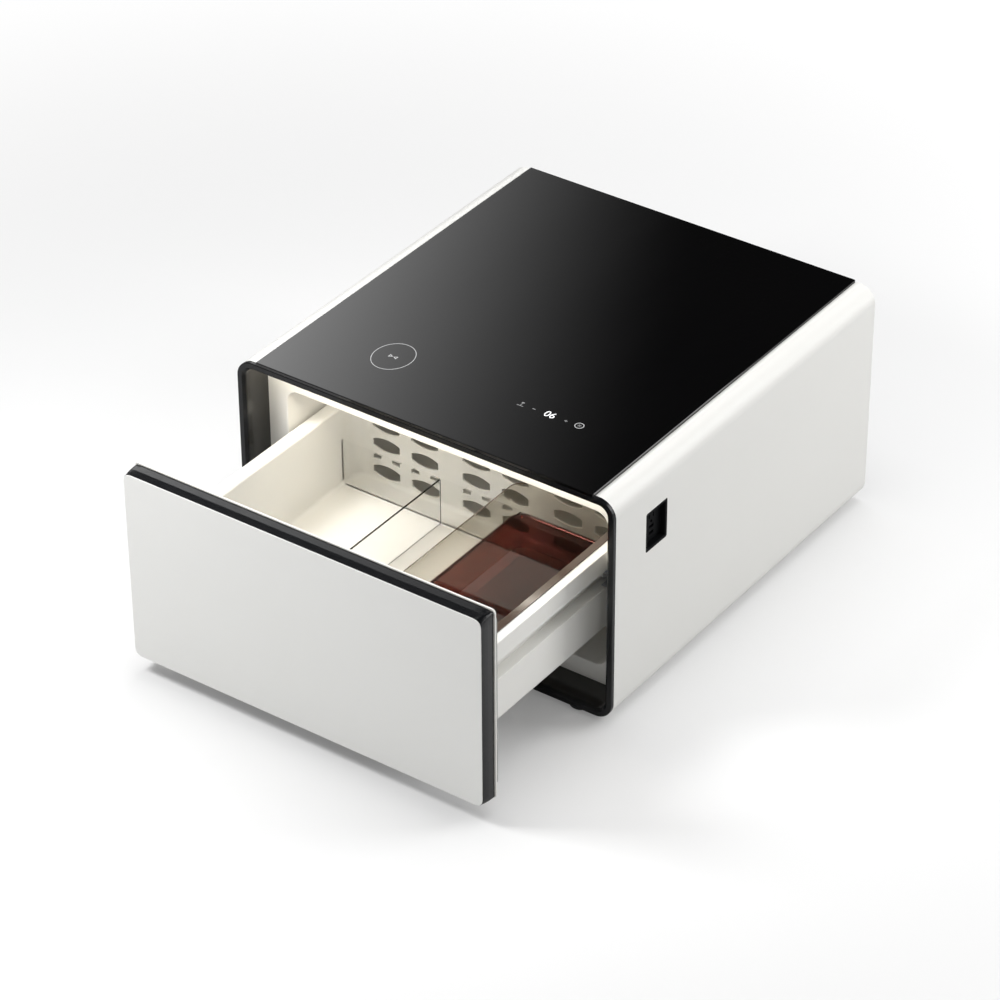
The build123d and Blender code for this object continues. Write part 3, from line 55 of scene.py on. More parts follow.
# Camera, solved from the photograph's straight edges
CAMERA_PLACE = (3.407547, -4.783605, 4.200668)
CAMERA_AZIMUTH = math.radians(35.5496)
CAMERA_ELEVATION = math.radians(34.41075)
CAMERA_ROLL = math.radians(-0.30628)
CAMERA_LENS = 143.13
CAMERA_SENSOR = 36.0
CAMERA_REACH = 60


def deselect():
    """Leaves object mode with nothing selected."""
    if bpy.context.object and bpy.context.object.mode != "OBJECT":
        bpy.ops.object.mode_set(mode="OBJECT")
    bpy.ops.object.select_all(action="DESELECT")


def add_camera():
    """The photograph's camera, square frame, no shift."""
    deselect()
    bpy.ops.object.camera_add()
    camera = bpy.context.object
    camera.name = "photo_camera"
    turn = Matrix.Rotation(CAMERA_AZIMUTH, 4, "Z")
    tilt = Matrix.Rotation(math.pi / 2 - CAMERA_ELEVATION, 4, "X")
    roll = Matrix.Rotation(CAMERA_ROLL, 4, "Z")
    camera.matrix_world = Matrix.Translation(CAMERA_PLACE) @ turn @ tilt @ roll
    camera.data.sensor_width = CAMERA_SENSOR
    camera.data.lens = CAMERA_LENS
    camera.data.clip_end = CAMERA_REACH
    bpy.context.scene.camera = camera


add_camera()


# Shader maths: a value in a material, and a finish that owns its nodes

class Value:
    """One output of a node. Arithmetic on it adds Math nodes."""

    def __init__(self, finish, socket):
        self.finish = finish
        self.socket = socket

    def math(self, operation, *others):
        inputs = dict(enumerate((self,) + others))
        return self.finish.add("ShaderNodeMath", {"operation": operation}, inputs)

    def held(self, low, high):
        """The value, kept between two levels."""
        return self.math("MAXIMUM", low).math("MINIMUM", high)

    def __add__(self, other):
        return self.math("ADD", other)

    def __mul__(self, other):
        return self.math("MULTIPLY", other)

    def __sub__(self, other):
        return self.math("SUBTRACT", other)

    def __truediv__(self, other):
        return self.math("DIVIDE", other)


class Nodes:
    """A node tree, and one way to add any node to it."""

    def __init__(self, tree):
        self.tree = tree

    def add(self, kind, settings=None, inputs=None, output=0):
        node = self.tree.nodes.new(kind)
        for name, value in (settings or {}).items():
            setattr(node, name, value)
        for name, value in (inputs or {}).items():
            self.feed(node.inputs[name], value)
        return Value(self, node.outputs[output])

    def feed(self, socket, value):
        if isinstance(value, Value):
            self.tree.links.new(value.socket, socket)
        else:
            socket.default_value = value

    def step(self, value, start, end, low=0.0, high=1.0):
        """A smooth change from one level to another while a value goes from start to end."""
        return self.add("ShaderNodeMapRange", {"interpolation_type": "SMOOTHSTEP"}, {
            "Value": value, "From Min": start, "From Max": end, "To Min": low, "To Max": high})


class Finish(Nodes):
    """A material with its shader and the marks of its making."""

    def __init__(self, name, **settings):
        self.material = bpy.data.materials.new(name)
        self.material.use_nodes = True
        super().__init__(self.material.node_tree)
        self.shader = self.tree.nodes["Principled BSDF"]
        self.output = self.tree.nodes["Material Output"]
        self.place = self.add("ShaderNodeTexCoord", output="Object")
        for socket, value in settings.items():
            self.set(socket.replace("_", " "), value)

    def set(self, socket, value):
        self.feed(self.shader.inputs[socket], value)
        return self

    def noise(self, scale, detail=3.0, roughness=0.5, place=None):
        return self.add("ShaderNodeTexNoise", None, {
            "Vector": place or self.place, "Scale": scale, "Detail": detail, "Roughness": roughness})

    def cells(self, scale, output="Distance"):
        return self.add("ShaderNodeTexVoronoi", None, {"Vector": self.place, "Scale": scale}, output=output)

    def stretch(self, x, y, z):
        """Object coordinates scaled apart along the three axes."""
        return self.add("ShaderNodeVectorMath", {"operation": "MULTIPLY"}, {0: self.place, 1: (x, y, z)})

    def blend(self, share, low, high):
        """A colour between two colours."""
        return self.add("ShaderNodeMix", {"data_type": "RGBA"}, {0: share, 6: low, 7: high}, output=2)

    def spread(self, value, low, high):
        """A value from 0 to 1 spread over a range, and held inside it."""
        return self.add("ShaderNodeMapRange", None, {"Value": value, "To Min": low, "To Max": high})

    def bump(self, height, distance):
        relief = self.add("ShaderNodeBump", None, {"Height": height, "Distance": distance, "Strength": 1.0})
        return self.set("Normal", relief)


def shade(red, green, blue):
    """An opaque colour."""
    return (red, green, blue, 1.0)


def grey(level):
    """A neutral colour."""
    return shade(level, level, level)


# Finishes: each function returns one material

def paint(name, low, high, roughness, peel, coat):
    """Sprayed paint: a faint cloudiness, orange peel and a thin clear coat."""
    finish = Finish(name, Coat_Roughness=0.12, Specular_IOR_Level=0.45)
    cloud = finish.noise(2.2, detail=4.0, roughness=0.55)
    finish.set("Base Color", finish.blend(cloud, low, high))
    streak = finish.noise(26.0, detail=5.0, roughness=0.6, place=finish.stretch(1.0, 0.35, 1.6))
    finish.set("Roughness", finish.spread(streak, roughness - 0.05, roughness + 0.07))
    finish.set("Coat Weight", coat)
    peel_noise = finish.noise(520.0, detail=2.0, roughness=0.45)
    return finish.bump(peel_noise, peel).material


def moulded(name, low, high, roughness, grain, depth, coat=0.0, subsurface=0.0, shine=0.5):
    """Moulded plastic: flow marks in its tone and a fine grain."""
    finish = Finish(name, Specular_IOR_Level=shine)
    flow = finish.noise(5.0, detail=5.0, roughness=0.6, place=finish.stretch(1.0, 0.5, 1.0))
    finish.set("Base Color", finish.blend(flow, low, high))
    wear = finish.noise(38.0, detail=4.0, roughness=0.6)
    finish.set("Roughness", finish.spread(wear, roughness - 0.05, roughness + 0.09))
    finish.set("Coat Weight", coat)
    if subsurface:
        finish.set("Subsurface Weight", subsurface)
        finish.set("Subsurface Radius", (0.012, 0.010, 0.008))
        finish.set("Subsurface Scale", 0.3)
    return finish.bump(finish.noise(grain, detail=2.0), depth).material


def black_glass_finish():
    """Back-painted glass: almost black, polished, with faint wiping marks."""
    finish = Finish("black_glass", IOR=1.5, Coat_Weight=0.0)
    low, high = shade(0.0012, 0.0012, 0.0014), shade(0.0022, 0.0021, 0.0022)
    finish.set("Base Color", finish.blend(finish.noise(1.4, detail=2.0), low, high))
    wipes = finish.noise(9.0, detail=6.0, roughness=0.65, place=finish.stretch(1.0, 0.22, 1.0))
    finish.set("Roughness", finish.spread(wipes, 0.035, 0.085))
    return finish.material


def clear_finish(name, low, high, ior, haze):
    """Clear or tinted acrylic with faint scuffs."""
    finish = Finish(name, IOR=ior, Transmission_Weight=1.0)
    finish.set("Base Color", finish.blend(finish.noise(3.0, detail=2.0), low, high))
    scuffs = finish.noise(60.0, detail=5.0, roughness=0.7)
    finish.set("Roughness", finish.spread(scuffs, haze, haze + 0.04))
    return finish.material


def tray_finish():
    """Smoked acrylic: clear grey-brown walls and a wine-red floor."""
    finish = Finish("smoky_acrylic", IOR=1.36, Transmission_Weight=1.0)
    floor_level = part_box("smoky_tray")[0][2]
    height = finish.add("ShaderNodeSeparateXYZ", None, {"Vector": finish.place}, output="Z")
    red_end, clear_start = floor_level + 3 * MM, floor_level + 9 * MM
    wall_share = finish.step(height, red_end, clear_start)
    cast = finish.noise(3.0, detail=2.0)
    wall = finish.blend(cast, shade(0.62, 0.59, 0.53), shade(0.70, 0.67, 0.61))
    finish.set("Base Color", finish.blend(wall_share, shade(0.10, 0.022, 0.016), wall))
    scuffs = finish.noise(60.0, detail=5.0, roughness=0.7)
    finish.set("Roughness", finish.spread(scuffs, 0.02, 0.06))
    return finish.material


def metal(name, low, high, roughness, stretch=(1.0, 1.0, 1.0)):
    """Drawn or rolled metal with fine lines along one axis."""
    finish = Finish(name, Metallic=1.0)
    lines = finish.noise(120.0, detail=6.0, roughness=0.7, place=finish.stretch(*stretch))
    tone = finish.noise(14.0, detail=4.0, roughness=0.6)
    finish.set("Base Color", finish.blend(tone, low, high))
    finish.set("Roughness", finish.spread(lines, roughness - 0.07, roughness + 0.10))
    return finish.bump(lines, 4 * MICRON).material


def zinc_finish():
    """Galvanised sheet: a mosaic of zinc crystals."""
    finish = Finish("galvanised_sheet", Metallic=1.0)
    crystals = finish.cells(95.0, output="Color")
    tone = finish.add("ShaderNodeSeparateColor", None, {"Color": crystals})
    finish.set("Base Color", finish.blend(tone, shade(0.42, 0.44, 0.46), shade(0.60, 0.62, 0.64)))
    finish.set("Roughness", finish.spread(tone, 0.32, 0.52))
    return finish.bump(tone, 10 * MICRON).material


def foam_finish():
    """Cut rigid foam: small open cells."""
    finish = Finish("rigid_foam", Roughness=0.9)
    tone = finish.noise(12.0)
    finish.set("Base Color", finish.blend(tone, shade(0.74, 0.66, 0.42), shade(0.84, 0.77, 0.54)))
    return finish.bump(finish.cells(650.0), 300 * MICRON).material


def board_finish():
    """Circuit board: solder mask over a pattern of copper tracks."""
    finish = Finish("circuit_board", Coat_Weight=0.3)
    tracks = finish.add("ShaderNodeTexBrick", {"offset": 0.35}, {
        "Vector": finish.place, "Scale": 160.0, "Mortar Size": 0.05, "Brick Width": 0.9,
        "Row Height": 0.22}, output="Fac")
    finish.set("Base Color", finish.blend(tracks, shade(0.010, 0.085, 0.040), shade(0.030, 0.17, 0.075)))
    finish.set("Roughness", finish.spread(tracks, 0.30, 0.45))
    return finish.bump(tracks, 30 * MICRON).material


def coil_finish():
    """Flat wound litz coil: fine rings about the coil's own middle."""
    finish = Finish("wound_copper", Metallic=1.0)
    middle = tuple((a + b) / 2 for a, b in zip(*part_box("charging_coil")))
    centred = finish.add("ShaderNodeVectorMath", {"operation": "SUBTRACT"}, {0: finish.place, 1: middle})
    rings = finish.add("ShaderNodeTexWave", {"wave_type": "RINGS", "rings_direction": "Z"},
                       {"Vector": centred, "Scale": 180.0, "Distortion": 0.4}, output="Fac")
    finish.set("Base Color", finish.blend(rings, shade(0.28, 0.11, 0.05), shade(0.80, 0.40, 0.22)))
    finish.set("Roughness", 0.35)
    return finish.bump(rings, 200 * MICRON).material


def rubber_finish(name, low, high, roughness):
    """Moulded rubber: a dry bloom over a fine pebble grain."""
    finish = Finish(name, Specular_IOR_Level=0.35)
    bloom = finish.noise(30.0, detail=6.0, roughness=0.7)
    finish.set("Base Color", finish.blend(bloom, low, high))
    finish.set("Roughness", finish.spread(bloom, roughness - 0.08, roughness + 0.08))
    return finish.bump(finish.cells(900.0), 80 * MICRON).material


def glow_finish(name, colour, strength, base):
    """A lit part: a pale body that also gives light."""
    finish = Finish(name, Base_Color=base, Roughness=0.4, Emission_Strength=strength)
    dimmer = shade(*(part * 0.9 for part in colour[:3]))
    finish.set("Emission Color", finish.blend(finish.noise(40.0, detail=2.0), dimmer, colour))
    return finish.material


finishes = {
    "shell_white": paint("shell_paint", shade(0.770, 0.765, 0.735), shade(0.800, 0.797, 0.770),
                         roughness=0.40, peel=12 * MICRON, coat=0.10),
    "panel_white": paint("front_enamel", shade(0.790, 0.790, 0.765), shade(0.815, 0.815, 0.795),
                         roughness=0.30, peel=8 * MICRON, coat=0.25),
    "cover_grey": paint("cover_paint", shade(0.20, 0.205, 0.205), shade(0.235, 0.24, 0.24),
                        roughness=0.48, peel=20 * MICRON, coat=0.05),
    "compressor_black": paint("compressor_enamel", shade(0.012, 0.012, 0.013), shade(0.022, 0.022, 0.024),
                              roughness=0.32, peel=30 * MICRON, coat=0.30),
    "gloss_black": moulded("trim_black", shade(0.0036, 0.0040, 0.0048), shade(0.0060, 0.0064, 0.0074),
                           roughness=0.22, grain=700.0, depth=4 * MICRON, shine=0.27),
    "throat_grey": moulded("throat_gloss", shade(0.013, 0.0125, 0.0110), shade(0.019, 0.018, 0.0160),
                           roughness=0.14, grain=650.0, depth=3 * MICRON),
    "liner_white": moulded("liner_plastic", shade(0.79, 0.775, 0.735), shade(0.83, 0.82, 0.785),
                           roughness=0.38, grain=420.0, depth=12 * MICRON, coat=0.05, subsurface=0.06),
    "tub_white": moulded("tub_plastic", shade(0.80, 0.79, 0.755), shade(0.84, 0.835, 0.80),
                         roughness=0.33, grain=460.0, depth=10 * MICRON, coat=0.10, subsurface=0.06),
    "carrier_grey": moulded("carrier_plastic", shade(0.035, 0.035, 0.038), shade(0.05, 0.05, 0.053),
                            roughness=0.5, grain=500.0, depth=30 * MICRON),
    "socket_black": moulded("socket_plastic", shade(0.0036, 0.0038, 0.0044), shade(0.0062, 0.0064, 0.0072),
                            roughness=0.55, grain=800.0, depth=30 * MICRON, shine=0.06),
    "fan_black": moulded("fan_plastic", shade(0.014, 0.014, 0.015), shade(0.026, 0.026, 0.027),
                         roughness=0.42, grain=520.0, depth=20 * MICRON),
    "roller_nylon": moulded("nylon", shade(0.62, 0.61, 0.57), shade(0.70, 0.69, 0.65),
                            roughness=0.42, grain=600.0, depth=20 * MICRON, subsurface=0.15),
    "ferrite": moulded("ferrite_plate", shade(0.020, 0.020, 0.021), shade(0.035, 0.034, 0.034),
                       roughness=0.55, grain=900.0, depth=40 * MICRON),
    "black_glass": black_glass_finish(),
    "clear_acrylic": clear_finish("clear_acrylic", shade(0.955, 0.955, 0.95), shade(0.985, 0.985, 0.98),
                                  ior=1.30, haze=0.01),
    "smoky_acrylic": tray_finish(),
    "foam": foam_finish(),
    "copper": metal("copper_tube", shade(0.62, 0.28, 0.16), shade(0.80, 0.42, 0.27), roughness=0.30),
    "galvanised_steel": zinc_finish(),
    "screw_steel": metal("zinc_plated_screw", shade(0.50, 0.50, 0.49), shade(0.66, 0.65, 0.62),
                         roughness=0.28),
    "fin_aluminium": metal("fin_aluminium", shade(0.66, 0.67, 0.68), shade(0.80, 0.81, 0.82),
                           roughness=0.34, stretch=(0.2, 1.0, 1.0)),
    "rubber_black": rubber_finish("grommet_rubber", grey(0.014), shade(0.028, 0.027, 0.026), roughness=0.70),
    "foot_black": rubber_finish("foot_rubber", grey(0.010), grey(0.020), roughness=0.55),
    "gasket_grey": rubber_finish("gasket_vinyl", shade(0.30, 0.30, 0.295), shade(0.38, 0.38, 0.37),
                                 roughness=0.50),
    "board_green": board_finish(),
    "light_diffuser": glow_finish("lit_diffuser", shade(1.0, 0.95, 0.86), 4.0, base=shade(0.9, 0.89, 0.85)),
}
coil_copper = coil_finish()
MARK_WHITE = shade(0.97, 0.98, 1.0)
mark_bright = glow_finish("mark_bright", MARK_WHITE, 1.0, base=grey(0.6))
mark_medium = glow_finish("mark_medium", MARK_WHITE, 0.34, base=grey(0.30))
mark_ring = glow_finish("mark_ring", MARK_WHITE, 0.36, base=grey(0.30))
mark_dim = glow_finish("mark_dim", MARK_WHITE, 0.12, base=grey(0.16))

slot_of = {part["node"]: part["material_slot"] for part in frame["record"]["subparts"]}
body_of_node = {
    node: body for body, nodes in frame["record"]["behaviour"]["bodies"].items() for node in nodes}


def give(piece, material):
    """Gives a piece one material in place of all it had."""
    piece.data.materials.clear()
    piece.data.materials.append(material)


def dress_cad_nodes():
    """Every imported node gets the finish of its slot."""
    for name, piece in frame["nodes"].items():
        material = coil_copper if name == "charging_coil" else finishes[slot_of[name]]
        for slot in piece.material_slots:
            slot.material = material
        if not piece.material_slots:
            piece.data.materials.append(material)


dress_cad_nodes()


# The drawer front: corners rounder than packed, a trim that slopes to its front and tapers to its back

# Corners are drawn in by what would take the first radius to the second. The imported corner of 12 mm then
# starts 17 mm from the edges, and cuts about as deep as a round one of 14.6 mm.
DRAWN_FROM_RADIUS = 15 * MM
ROUNDER_RADIUS = 17 * MM
PANEL_INSET = 0.4 * MM
# A face of the trim is highest at its peak, a share of the depth from its front, and falls to its front edge
TOP_PEAK = 0.48
TOP_PEAK_BAND = 0.07
TOP_FALL = 2.6 * MM
SIDE_PEAK = 0.7
SIDE_FALL = 2 * MM
OUTER_BAND = 3 * MM
CUT_SLACK = 0.1 * MM
TAPER = 2 * MM
TAPER_MARGIN = 13.5 * MM
TAPER_RUN = 10 * MM
DROP = 1 * MM
DROP_MARGIN = 13 * MM
DROP_RUN = 8 * MM

panel_low, panel_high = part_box("front_panel")
trim_low, trim_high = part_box("front_trim")
middle_z = (panel_low[2] + panel_high[2]) / 2
half_x = panel_high[0]
half_z = (panel_high[2] - panel_low[2]) / 2
straight_x = half_x - ROUNDER_RADIUS
straight_z = half_z - ROUNDER_RADIUS
trim_depth = trim_high[1] - trim_low[1]
corner_cuts = [((side * straight_x, 0, 0), (1, 0, 0)) for side in (-1, 1)]
corner_cuts += [((0, 0, middle_z + side * straight_z), (0, 0, 1)) for side in (-1, 1)]
# The trim is cut at these shares of its depth, so that its faces can bend there
slope_levels = (0.06, 0.24, TOP_PEAK - TOP_PEAK_BAND, TOP_PEAK, TOP_PEAK + TOP_PEAK_BAND, 0.75, 0.94)
slope_cuts = [((0, trim_low[1] + trim_depth * level, 0), (0, 1, 0)) for level in slope_levels]


def rounder(point, share):
    """Draws a point of the drawer front in at its corners, all of the way or by a share of it."""
    away = Vector((abs(point.x) - straight_x, abs(point.z - middle_z) - straight_z))
    if min(away) <= 0:
        return point
    angle = math.atan2(away.y, away.x)
    inset = ROUNDER_RADIUS - DRAWN_FROM_RADIUS
    along = inset * (math.cos(angle) + math.sin(angle))
    reach = along + math.sqrt(along ** 2 + DRAWN_FROM_RADIUS ** 2 - 2 * inset ** 2)
    reach = min(reach, ROUNDER_RADIUS / max(math.cos(angle), math.sin(angle)))
    away *= 1 + (ROUNDER_RADIUS / reach - 1) * share
    x = math.copysign(straight_x + away.x, point.x)
    z = middle_z + math.copysign(straight_z + away.y, point.z - middle_z)
    return Vector((x, point.y, z))


def rounder_panel(point):
    """The panel with rounder corners, and a little smaller than the trim behind it."""
    point = rounder(point, 1.0)
    point.x *= 1 - PANEL_INSET / half_x
    point.z = middle_z + (point.z - middle_z) * (1 - PANEL_INSET / half_z)
    return point


def share_past(value, start, run):
    """How far a value has gone from a start over a run, from 0 to 1."""
    return min(max((value - start) / run, 0), 1)


def sloped_trim(point):
    """Slopes the trim's outer faces, rounds it with the panel in front and narrows it towards its back."""
    back = (point.y - trim_low[1]) / trim_depth
    if abs(point.x) < straight_x + CUT_SLACK and point.z > trim_high[2] - OUTER_BAND:
        point.z = trim_high[2] - TOP_FALL * max(1 - back / TOP_PEAK, 0)
    if abs(point.z - middle_z) < straight_z + CUT_SLACK and abs(point.x) > trim_high[0] - OUTER_BAND:
        point.x = math.copysign(trim_high[0] - SIDE_FALL * (1 - back / SIDE_PEAK) ** 2, point.x)
    point = rounder(point, 1 - back)
    outer = share_past(abs(point.x), trim_high[0] - TAPER_MARGIN, TAPER_RUN)
    upper = share_past(point.z, trim_high[2] - DROP_MARGIN, DROP_RUN)
    point.x -= math.copysign(TAPER * back * outer, point.x)
    point.z -= DROP * back * upper
    return point


# Softened copies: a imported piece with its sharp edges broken, as a mould or a press leaves them

MERGE_DISTANCE = 0.005 * MM
FLAT_ANGLE = math.radians(0.6)
SHARP_ANGLE = math.radians(40)
SMOOTH_ANGLE = math.radians(35)

# The pieces that are reshaped, each with its function and the cuts that it needs
reshapes = {
    "front_panel": (rounder_panel, corner_cuts),
    "front_trim": (sloped_trim, corner_cuts + slope_cuts),
}

# Widths of the broken edges, in millimetres
edge_widths = {
    "outer_shell": 0.5,
    "front_bezel": 0.5,
    "throat_sleeve": 0.3,
    "liner": 0.8,
    "glass_top": 0.15,
    "front_panel": 0.3,
    "front_trim": 0.8,
    "front_back_plate": 0.3,
    "drawer_gasket": 1.0,
    "drawer_tub": 0.8,
    "divider_left": 0.4,
    "divider_right": 0.4,
    "divider_back_plate": 0.4,
    "smoky_tray": 0.5,
    "socket_frame": 0.5,
    "socket_insert": 0.4,
    "back_cover": 0.3,
    "mains_inlet": 0.4,
}


def merged_copy(node, cuts):
    """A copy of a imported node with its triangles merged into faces, and cut where it will be reshaped."""
    piece = bpy.data.objects.new(node + "_finished", frame["nodes"][node].data.copy())
    bpy.context.collection.objects.link(piece)
    deselect()
    piece.select_set(True)
    bpy.context.view_layer.objects.active = piece
    bpy.ops.object.mode_set(mode="EDIT")
    bpy.ops.mesh.select_all(action="SELECT")
    bpy.ops.mesh.remove_doubles(threshold=MERGE_DISTANCE)
    bpy.ops.mesh.dissolve_limited(angle_limit=FLAT_ANGLE)
    for place, normal in cuts:
        bpy.ops.mesh.select_all(action="SELECT")
        bpy.ops.mesh.bisect(plane_co=place, plane_no=normal)
    bpy.ops.object.mode_set(mode="OBJECT")
    return piece


def break_edges(piece, width):
    """Rounds a piece's sharp edges and keeps its broad faces flat to the light."""
    bevel = piece.modifiers.new("edge", "BEVEL")
    bevel.width = width
    bevel.segments = 2
    bevel.limit_method = "ANGLE"
    bevel.angle_limit = SHARP_ANGLE
    bevel.use_clamp_overlap = True
    bpy.ops.object.modifier_apply(modifier=bevel.name)
    bpy.ops.object.shade_smooth_by_angle(angle=SMOOTH_ANGLE)
    flat = piece.modifiers.new("flat_faces", "WEIGHTED_NORMAL")
    flat.keep_sharp = True
    flat.weight = 100
    bpy.ops.object.modifier_apply(modifier=flat.name)


def soften(node, width):
    """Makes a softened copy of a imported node, which stands for it."""
    reshape, cuts = reshapes.get(node, (None, ()))
    piece = merged_copy(node, cuts)
    if reshape:
        for point in piece.data.vertices:
            point.co = reshape(point.co)
    break_edges(piece, width)
    give(piece, finishes[slot_of[node]])
    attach(piece, body_of_node[node])
    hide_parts(node)


for node, width in edge_widths.items():
    soften(node, width * MM)


BROWN_DEPTH = 0.2 * MM


def brown_rim():
    """The tray's lip and the tops of its walls are thick enough to look brown."""
    tray = bpy.data.objects["smoky_tray_finished"]
    tray.data.materials.append(moulded("smoked_rim", shade(0.050, 0.031, 0.022), shade(0.072, 0.045, 0.031),
                                       roughness=0.18, grain=600.0, depth=3 * MICRON))
    tub_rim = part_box("drawer_tub")[1][2]
    for face in tray.data.polygons:
        if face.center.z > tub_rim - BROWN_DEPTH:
            face.material_index = 1


brown_rim()
give(bpy.data.objects["divider_back_plate_finished"],
     clear_finish("clear_sheet", shade(0.97, 0.97, 0.965), shade(0.99, 0.99, 0.985), ior=1.04, haze=0.01))


# Marks on the glass: a charging ring with two arrowheads, and a row of touch signs

glass_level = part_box("glass_top")[1][2]
front_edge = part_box("front_bezel")[0][1]
MARK_HEIGHT = 0.12 * MM

# Places are millimetres across from the middle and behind the cabinet's front. Sizes are millimetres.
RING = (-171.2, 155.2)
RING_RADIUS = 37.9
RING_STRETCH = 1.18
RING_LINE = 1.1
ARROW_REACH = 5.2
ARROW_GAP = 1.2
ARROW_LINE = 1.3
ARROW_SHIFT = -1.0
SIGN_LINE = 1.6
LAMP_SIGN = (100.8, 153.6)
LAMP_LEAN = 0.4
LAMP_BASE = 13.0
LAMP_STEM = 8.8
LAMP_HEAD = (5.6, 3.4)
LAMP_HEAD_RISE = 10.2
MINUS_SIGN = (127.4, 158.2)
MINUS_SIZE = (6.4, 1.8)
DIGITS = (160.6, 159.5)
DIGITS_SIZE = (20.6, 16.6)
DIGITS_THINNING = -0.003
PLUS_SIGN = (193.7, 158.8)
PLUS_REACH = 6.0
COLD_SIGN = (220.9, 159.8)
COLD_RADIUS = 8.6
COLD_RING_LINE = 1.3
COLD_ARM_LINE = 0.9
BAR_ROUNDING = 0.42


def on_glass(place):
    """A place on the glass, in metres."""
    x, distance = place
    return (x * MM, front_edge + distance * MM, glass_level)


def raise_mark(piece, material):
    """Gives a flat mark its thickness, applies its place, and lets it ride on the cabinet."""
    deselect()
    piece.select_set(True)
    bpy.context.view_layer.objects.active = piece
    bpy.ops.object.transform_apply(location=True, rotation=True, scale=True)
    bpy.ops.object.mode_set(mode="EDIT")
    bpy.ops.mesh.select_all(action="SELECT")
    bpy.ops.mesh.extrude_region_move(TRANSFORM_OT_translate={"value": (0, 0, MARK_HEIGHT)})
    bpy.ops.mesh.select_all(action="SELECT")
    bpy.ops.mesh.normals_make_consistent(inside=False)
    bpy.ops.object.mode_set(mode="OBJECT")
    give(piece, material)
    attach(piece, "cabinet")


def flat_ring(name, place, radius, line, material, corners=96, turn=0.0, stretch=1.0):
    """A thin raised outline on the glass: a ring, or an arrowhead where it has three corners."""
    deselect()
    bpy.ops.mesh.primitive_circle_add(
        vertices=corners, radius=radius * MM, fill_type="NGON",
        location=on_glass(place), rotation=(0, 0, turn))
    ring = bpy.context.object
    ring.name = name
    ring.scale = (1, stretch, 1)
    bpy.ops.object.transform_apply(location=False, rotation=False, scale=True)
    bpy.ops.object.mode_set(mode="EDIT")
    bpy.ops.mesh.select_all(action="SELECT")
    bpy.ops.mesh.inset(thickness=line * MM)
    bpy.ops.mesh.delete(type="FACE")
    bpy.ops.object.mode_set(mode="OBJECT")
    raise_mark(ring, material)


def flat_bar(name, place, width, length, material, turn=0.0):
    """A thin raised bar with rounded ends on the glass."""
    deselect()
    bpy.ops.mesh.primitive_plane_add(size=1, location=on_glass(place), rotation=(0, 0, turn))
    bar = bpy.context.object
    bar.name = name
    bar.scale = (width * MM, length * MM, 1)
    bpy.ops.object.transform_apply(location=False, rotation=False, scale=True)
    bpy.ops.object.mode_set(mode="EDIT")
    bpy.ops.mesh.select_all(action="SELECT")
    bpy.ops.mesh.bevel(offset=min(width, length) * BAR_ROUNDING * MM, segments=5, affect="VERTICES")
    bpy.ops.object.mode_set(mode="OBJECT")
    raise_mark(bar, material)


def flat_digits(name, digits, place, width, height, material):
    """Raised digits on the glass, drawn to a width and a height."""
    deselect()
    bpy.ops.object.text_add(location=(0, 0, 0))
    sign = bpy.context.object
    sign.name = name
    sign.data.body = digits
    sign.data.align_x = "CENTER"
    sign.data.align_y = "CENTER"
    sign.data.offset = DIGITS_THINNING
    bpy.ops.object.convert(target="MESH")
    sign = bpy.context.object
    bpy.ops.object.origin_set(type="ORIGIN_GEOMETRY", center="BOUNDS")
    sign.location = on_glass(place)
    sign.scale = (width * MM / sign.dimensions.x, height * MM / sign.dimensions.y, 1)
    raise_mark(sign, material)


def add_charging_mark():
    """A ring with two arrowheads that point at each other."""
    flat_ring("charging_ring", RING, RING_RADIUS, RING_LINE, mark_ring, stretch=RING_STRETCH)
    x, distance = RING
    for side, name in ((-1, "left"), (1, "right")):
        centre = (x + side * (ARROW_REACH + ARROW_GAP / 2), distance + ARROW_SHIFT)
        flat_ring(f"charging_arrow_{name}", centre, ARROW_REACH, ARROW_LINE, mark_ring,
                  corners=3, turn=side * TURN / 4)


def add_lamp_sign():
    """A small lamp: a base, a stem and a head."""
    x, distance = LAMP_SIGN
    flat_bar("lamp_sign_base", LAMP_SIGN, LAMP_BASE, SIGN_LINE, mark_dim)
    stem_middle = (x + LAMP_LEAN, distance + (SIGN_LINE + LAMP_STEM) / 2)
    flat_bar("lamp_sign_stem", stem_middle, SIGN_LINE, LAMP_STEM, mark_dim)
    flat_bar("lamp_sign_head", (x + LAMP_LEAN, distance + LAMP_HEAD_RISE), *LAMP_HEAD, mark_dim)


def add_cold_sign():
    """A ring round a six-armed crystal."""
    flat_ring("cold_sign_ring", COLD_SIGN, COLD_RADIUS, COLD_RING_LINE, mark_medium, corners=64)
    for arm in range(3):
        flat_bar(f"cold_sign_arm_{arm}", COLD_SIGN, COLD_RADIUS, COLD_ARM_LINE, mark_dim,
                 turn=arm * TURN / 6)


add_charging_mark()
add_lamp_sign()
flat_bar("minus_sign", MINUS_SIGN, *MINUS_SIZE, mark_dim)
flat_digits("cold_digits", "06", DIGITS, *DIGITS_SIZE, mark_bright)
flat_bar("plus_sign_bar", PLUS_SIGN, PLUS_REACH, SIGN_LINE, mark_dim)
flat_bar("plus_sign_post", PLUS_SIGN, SIGN_LINE, PLUS_REACH, mark_dim)
add_cold_sign()


# Light: three soft lamps at a plain level, and the cabinet's own two

WARM = (1.0, 0.93, 0.80)


def area_lamp(name, place, target, size, power, colour=(1.0, 1.0, 1.0), height=None):
    """A soft rectangular lamp that faces a point."""
    deselect()
    bpy.ops.object.light_add(type="AREA", location=place)
    lamp = bpy.context.object
    lamp.name = name
    lamp.data.shape = "RECTANGLE"
    lamp.data.size = size
    lamp.data.size_y = height or size
    lamp.data.energy = power
    lamp.data.color = colour
    lamp.rotation_euler = (Vector(target) - Vector(place)).to_track_quat("-Z", "Y").to_euler()
    return lamp


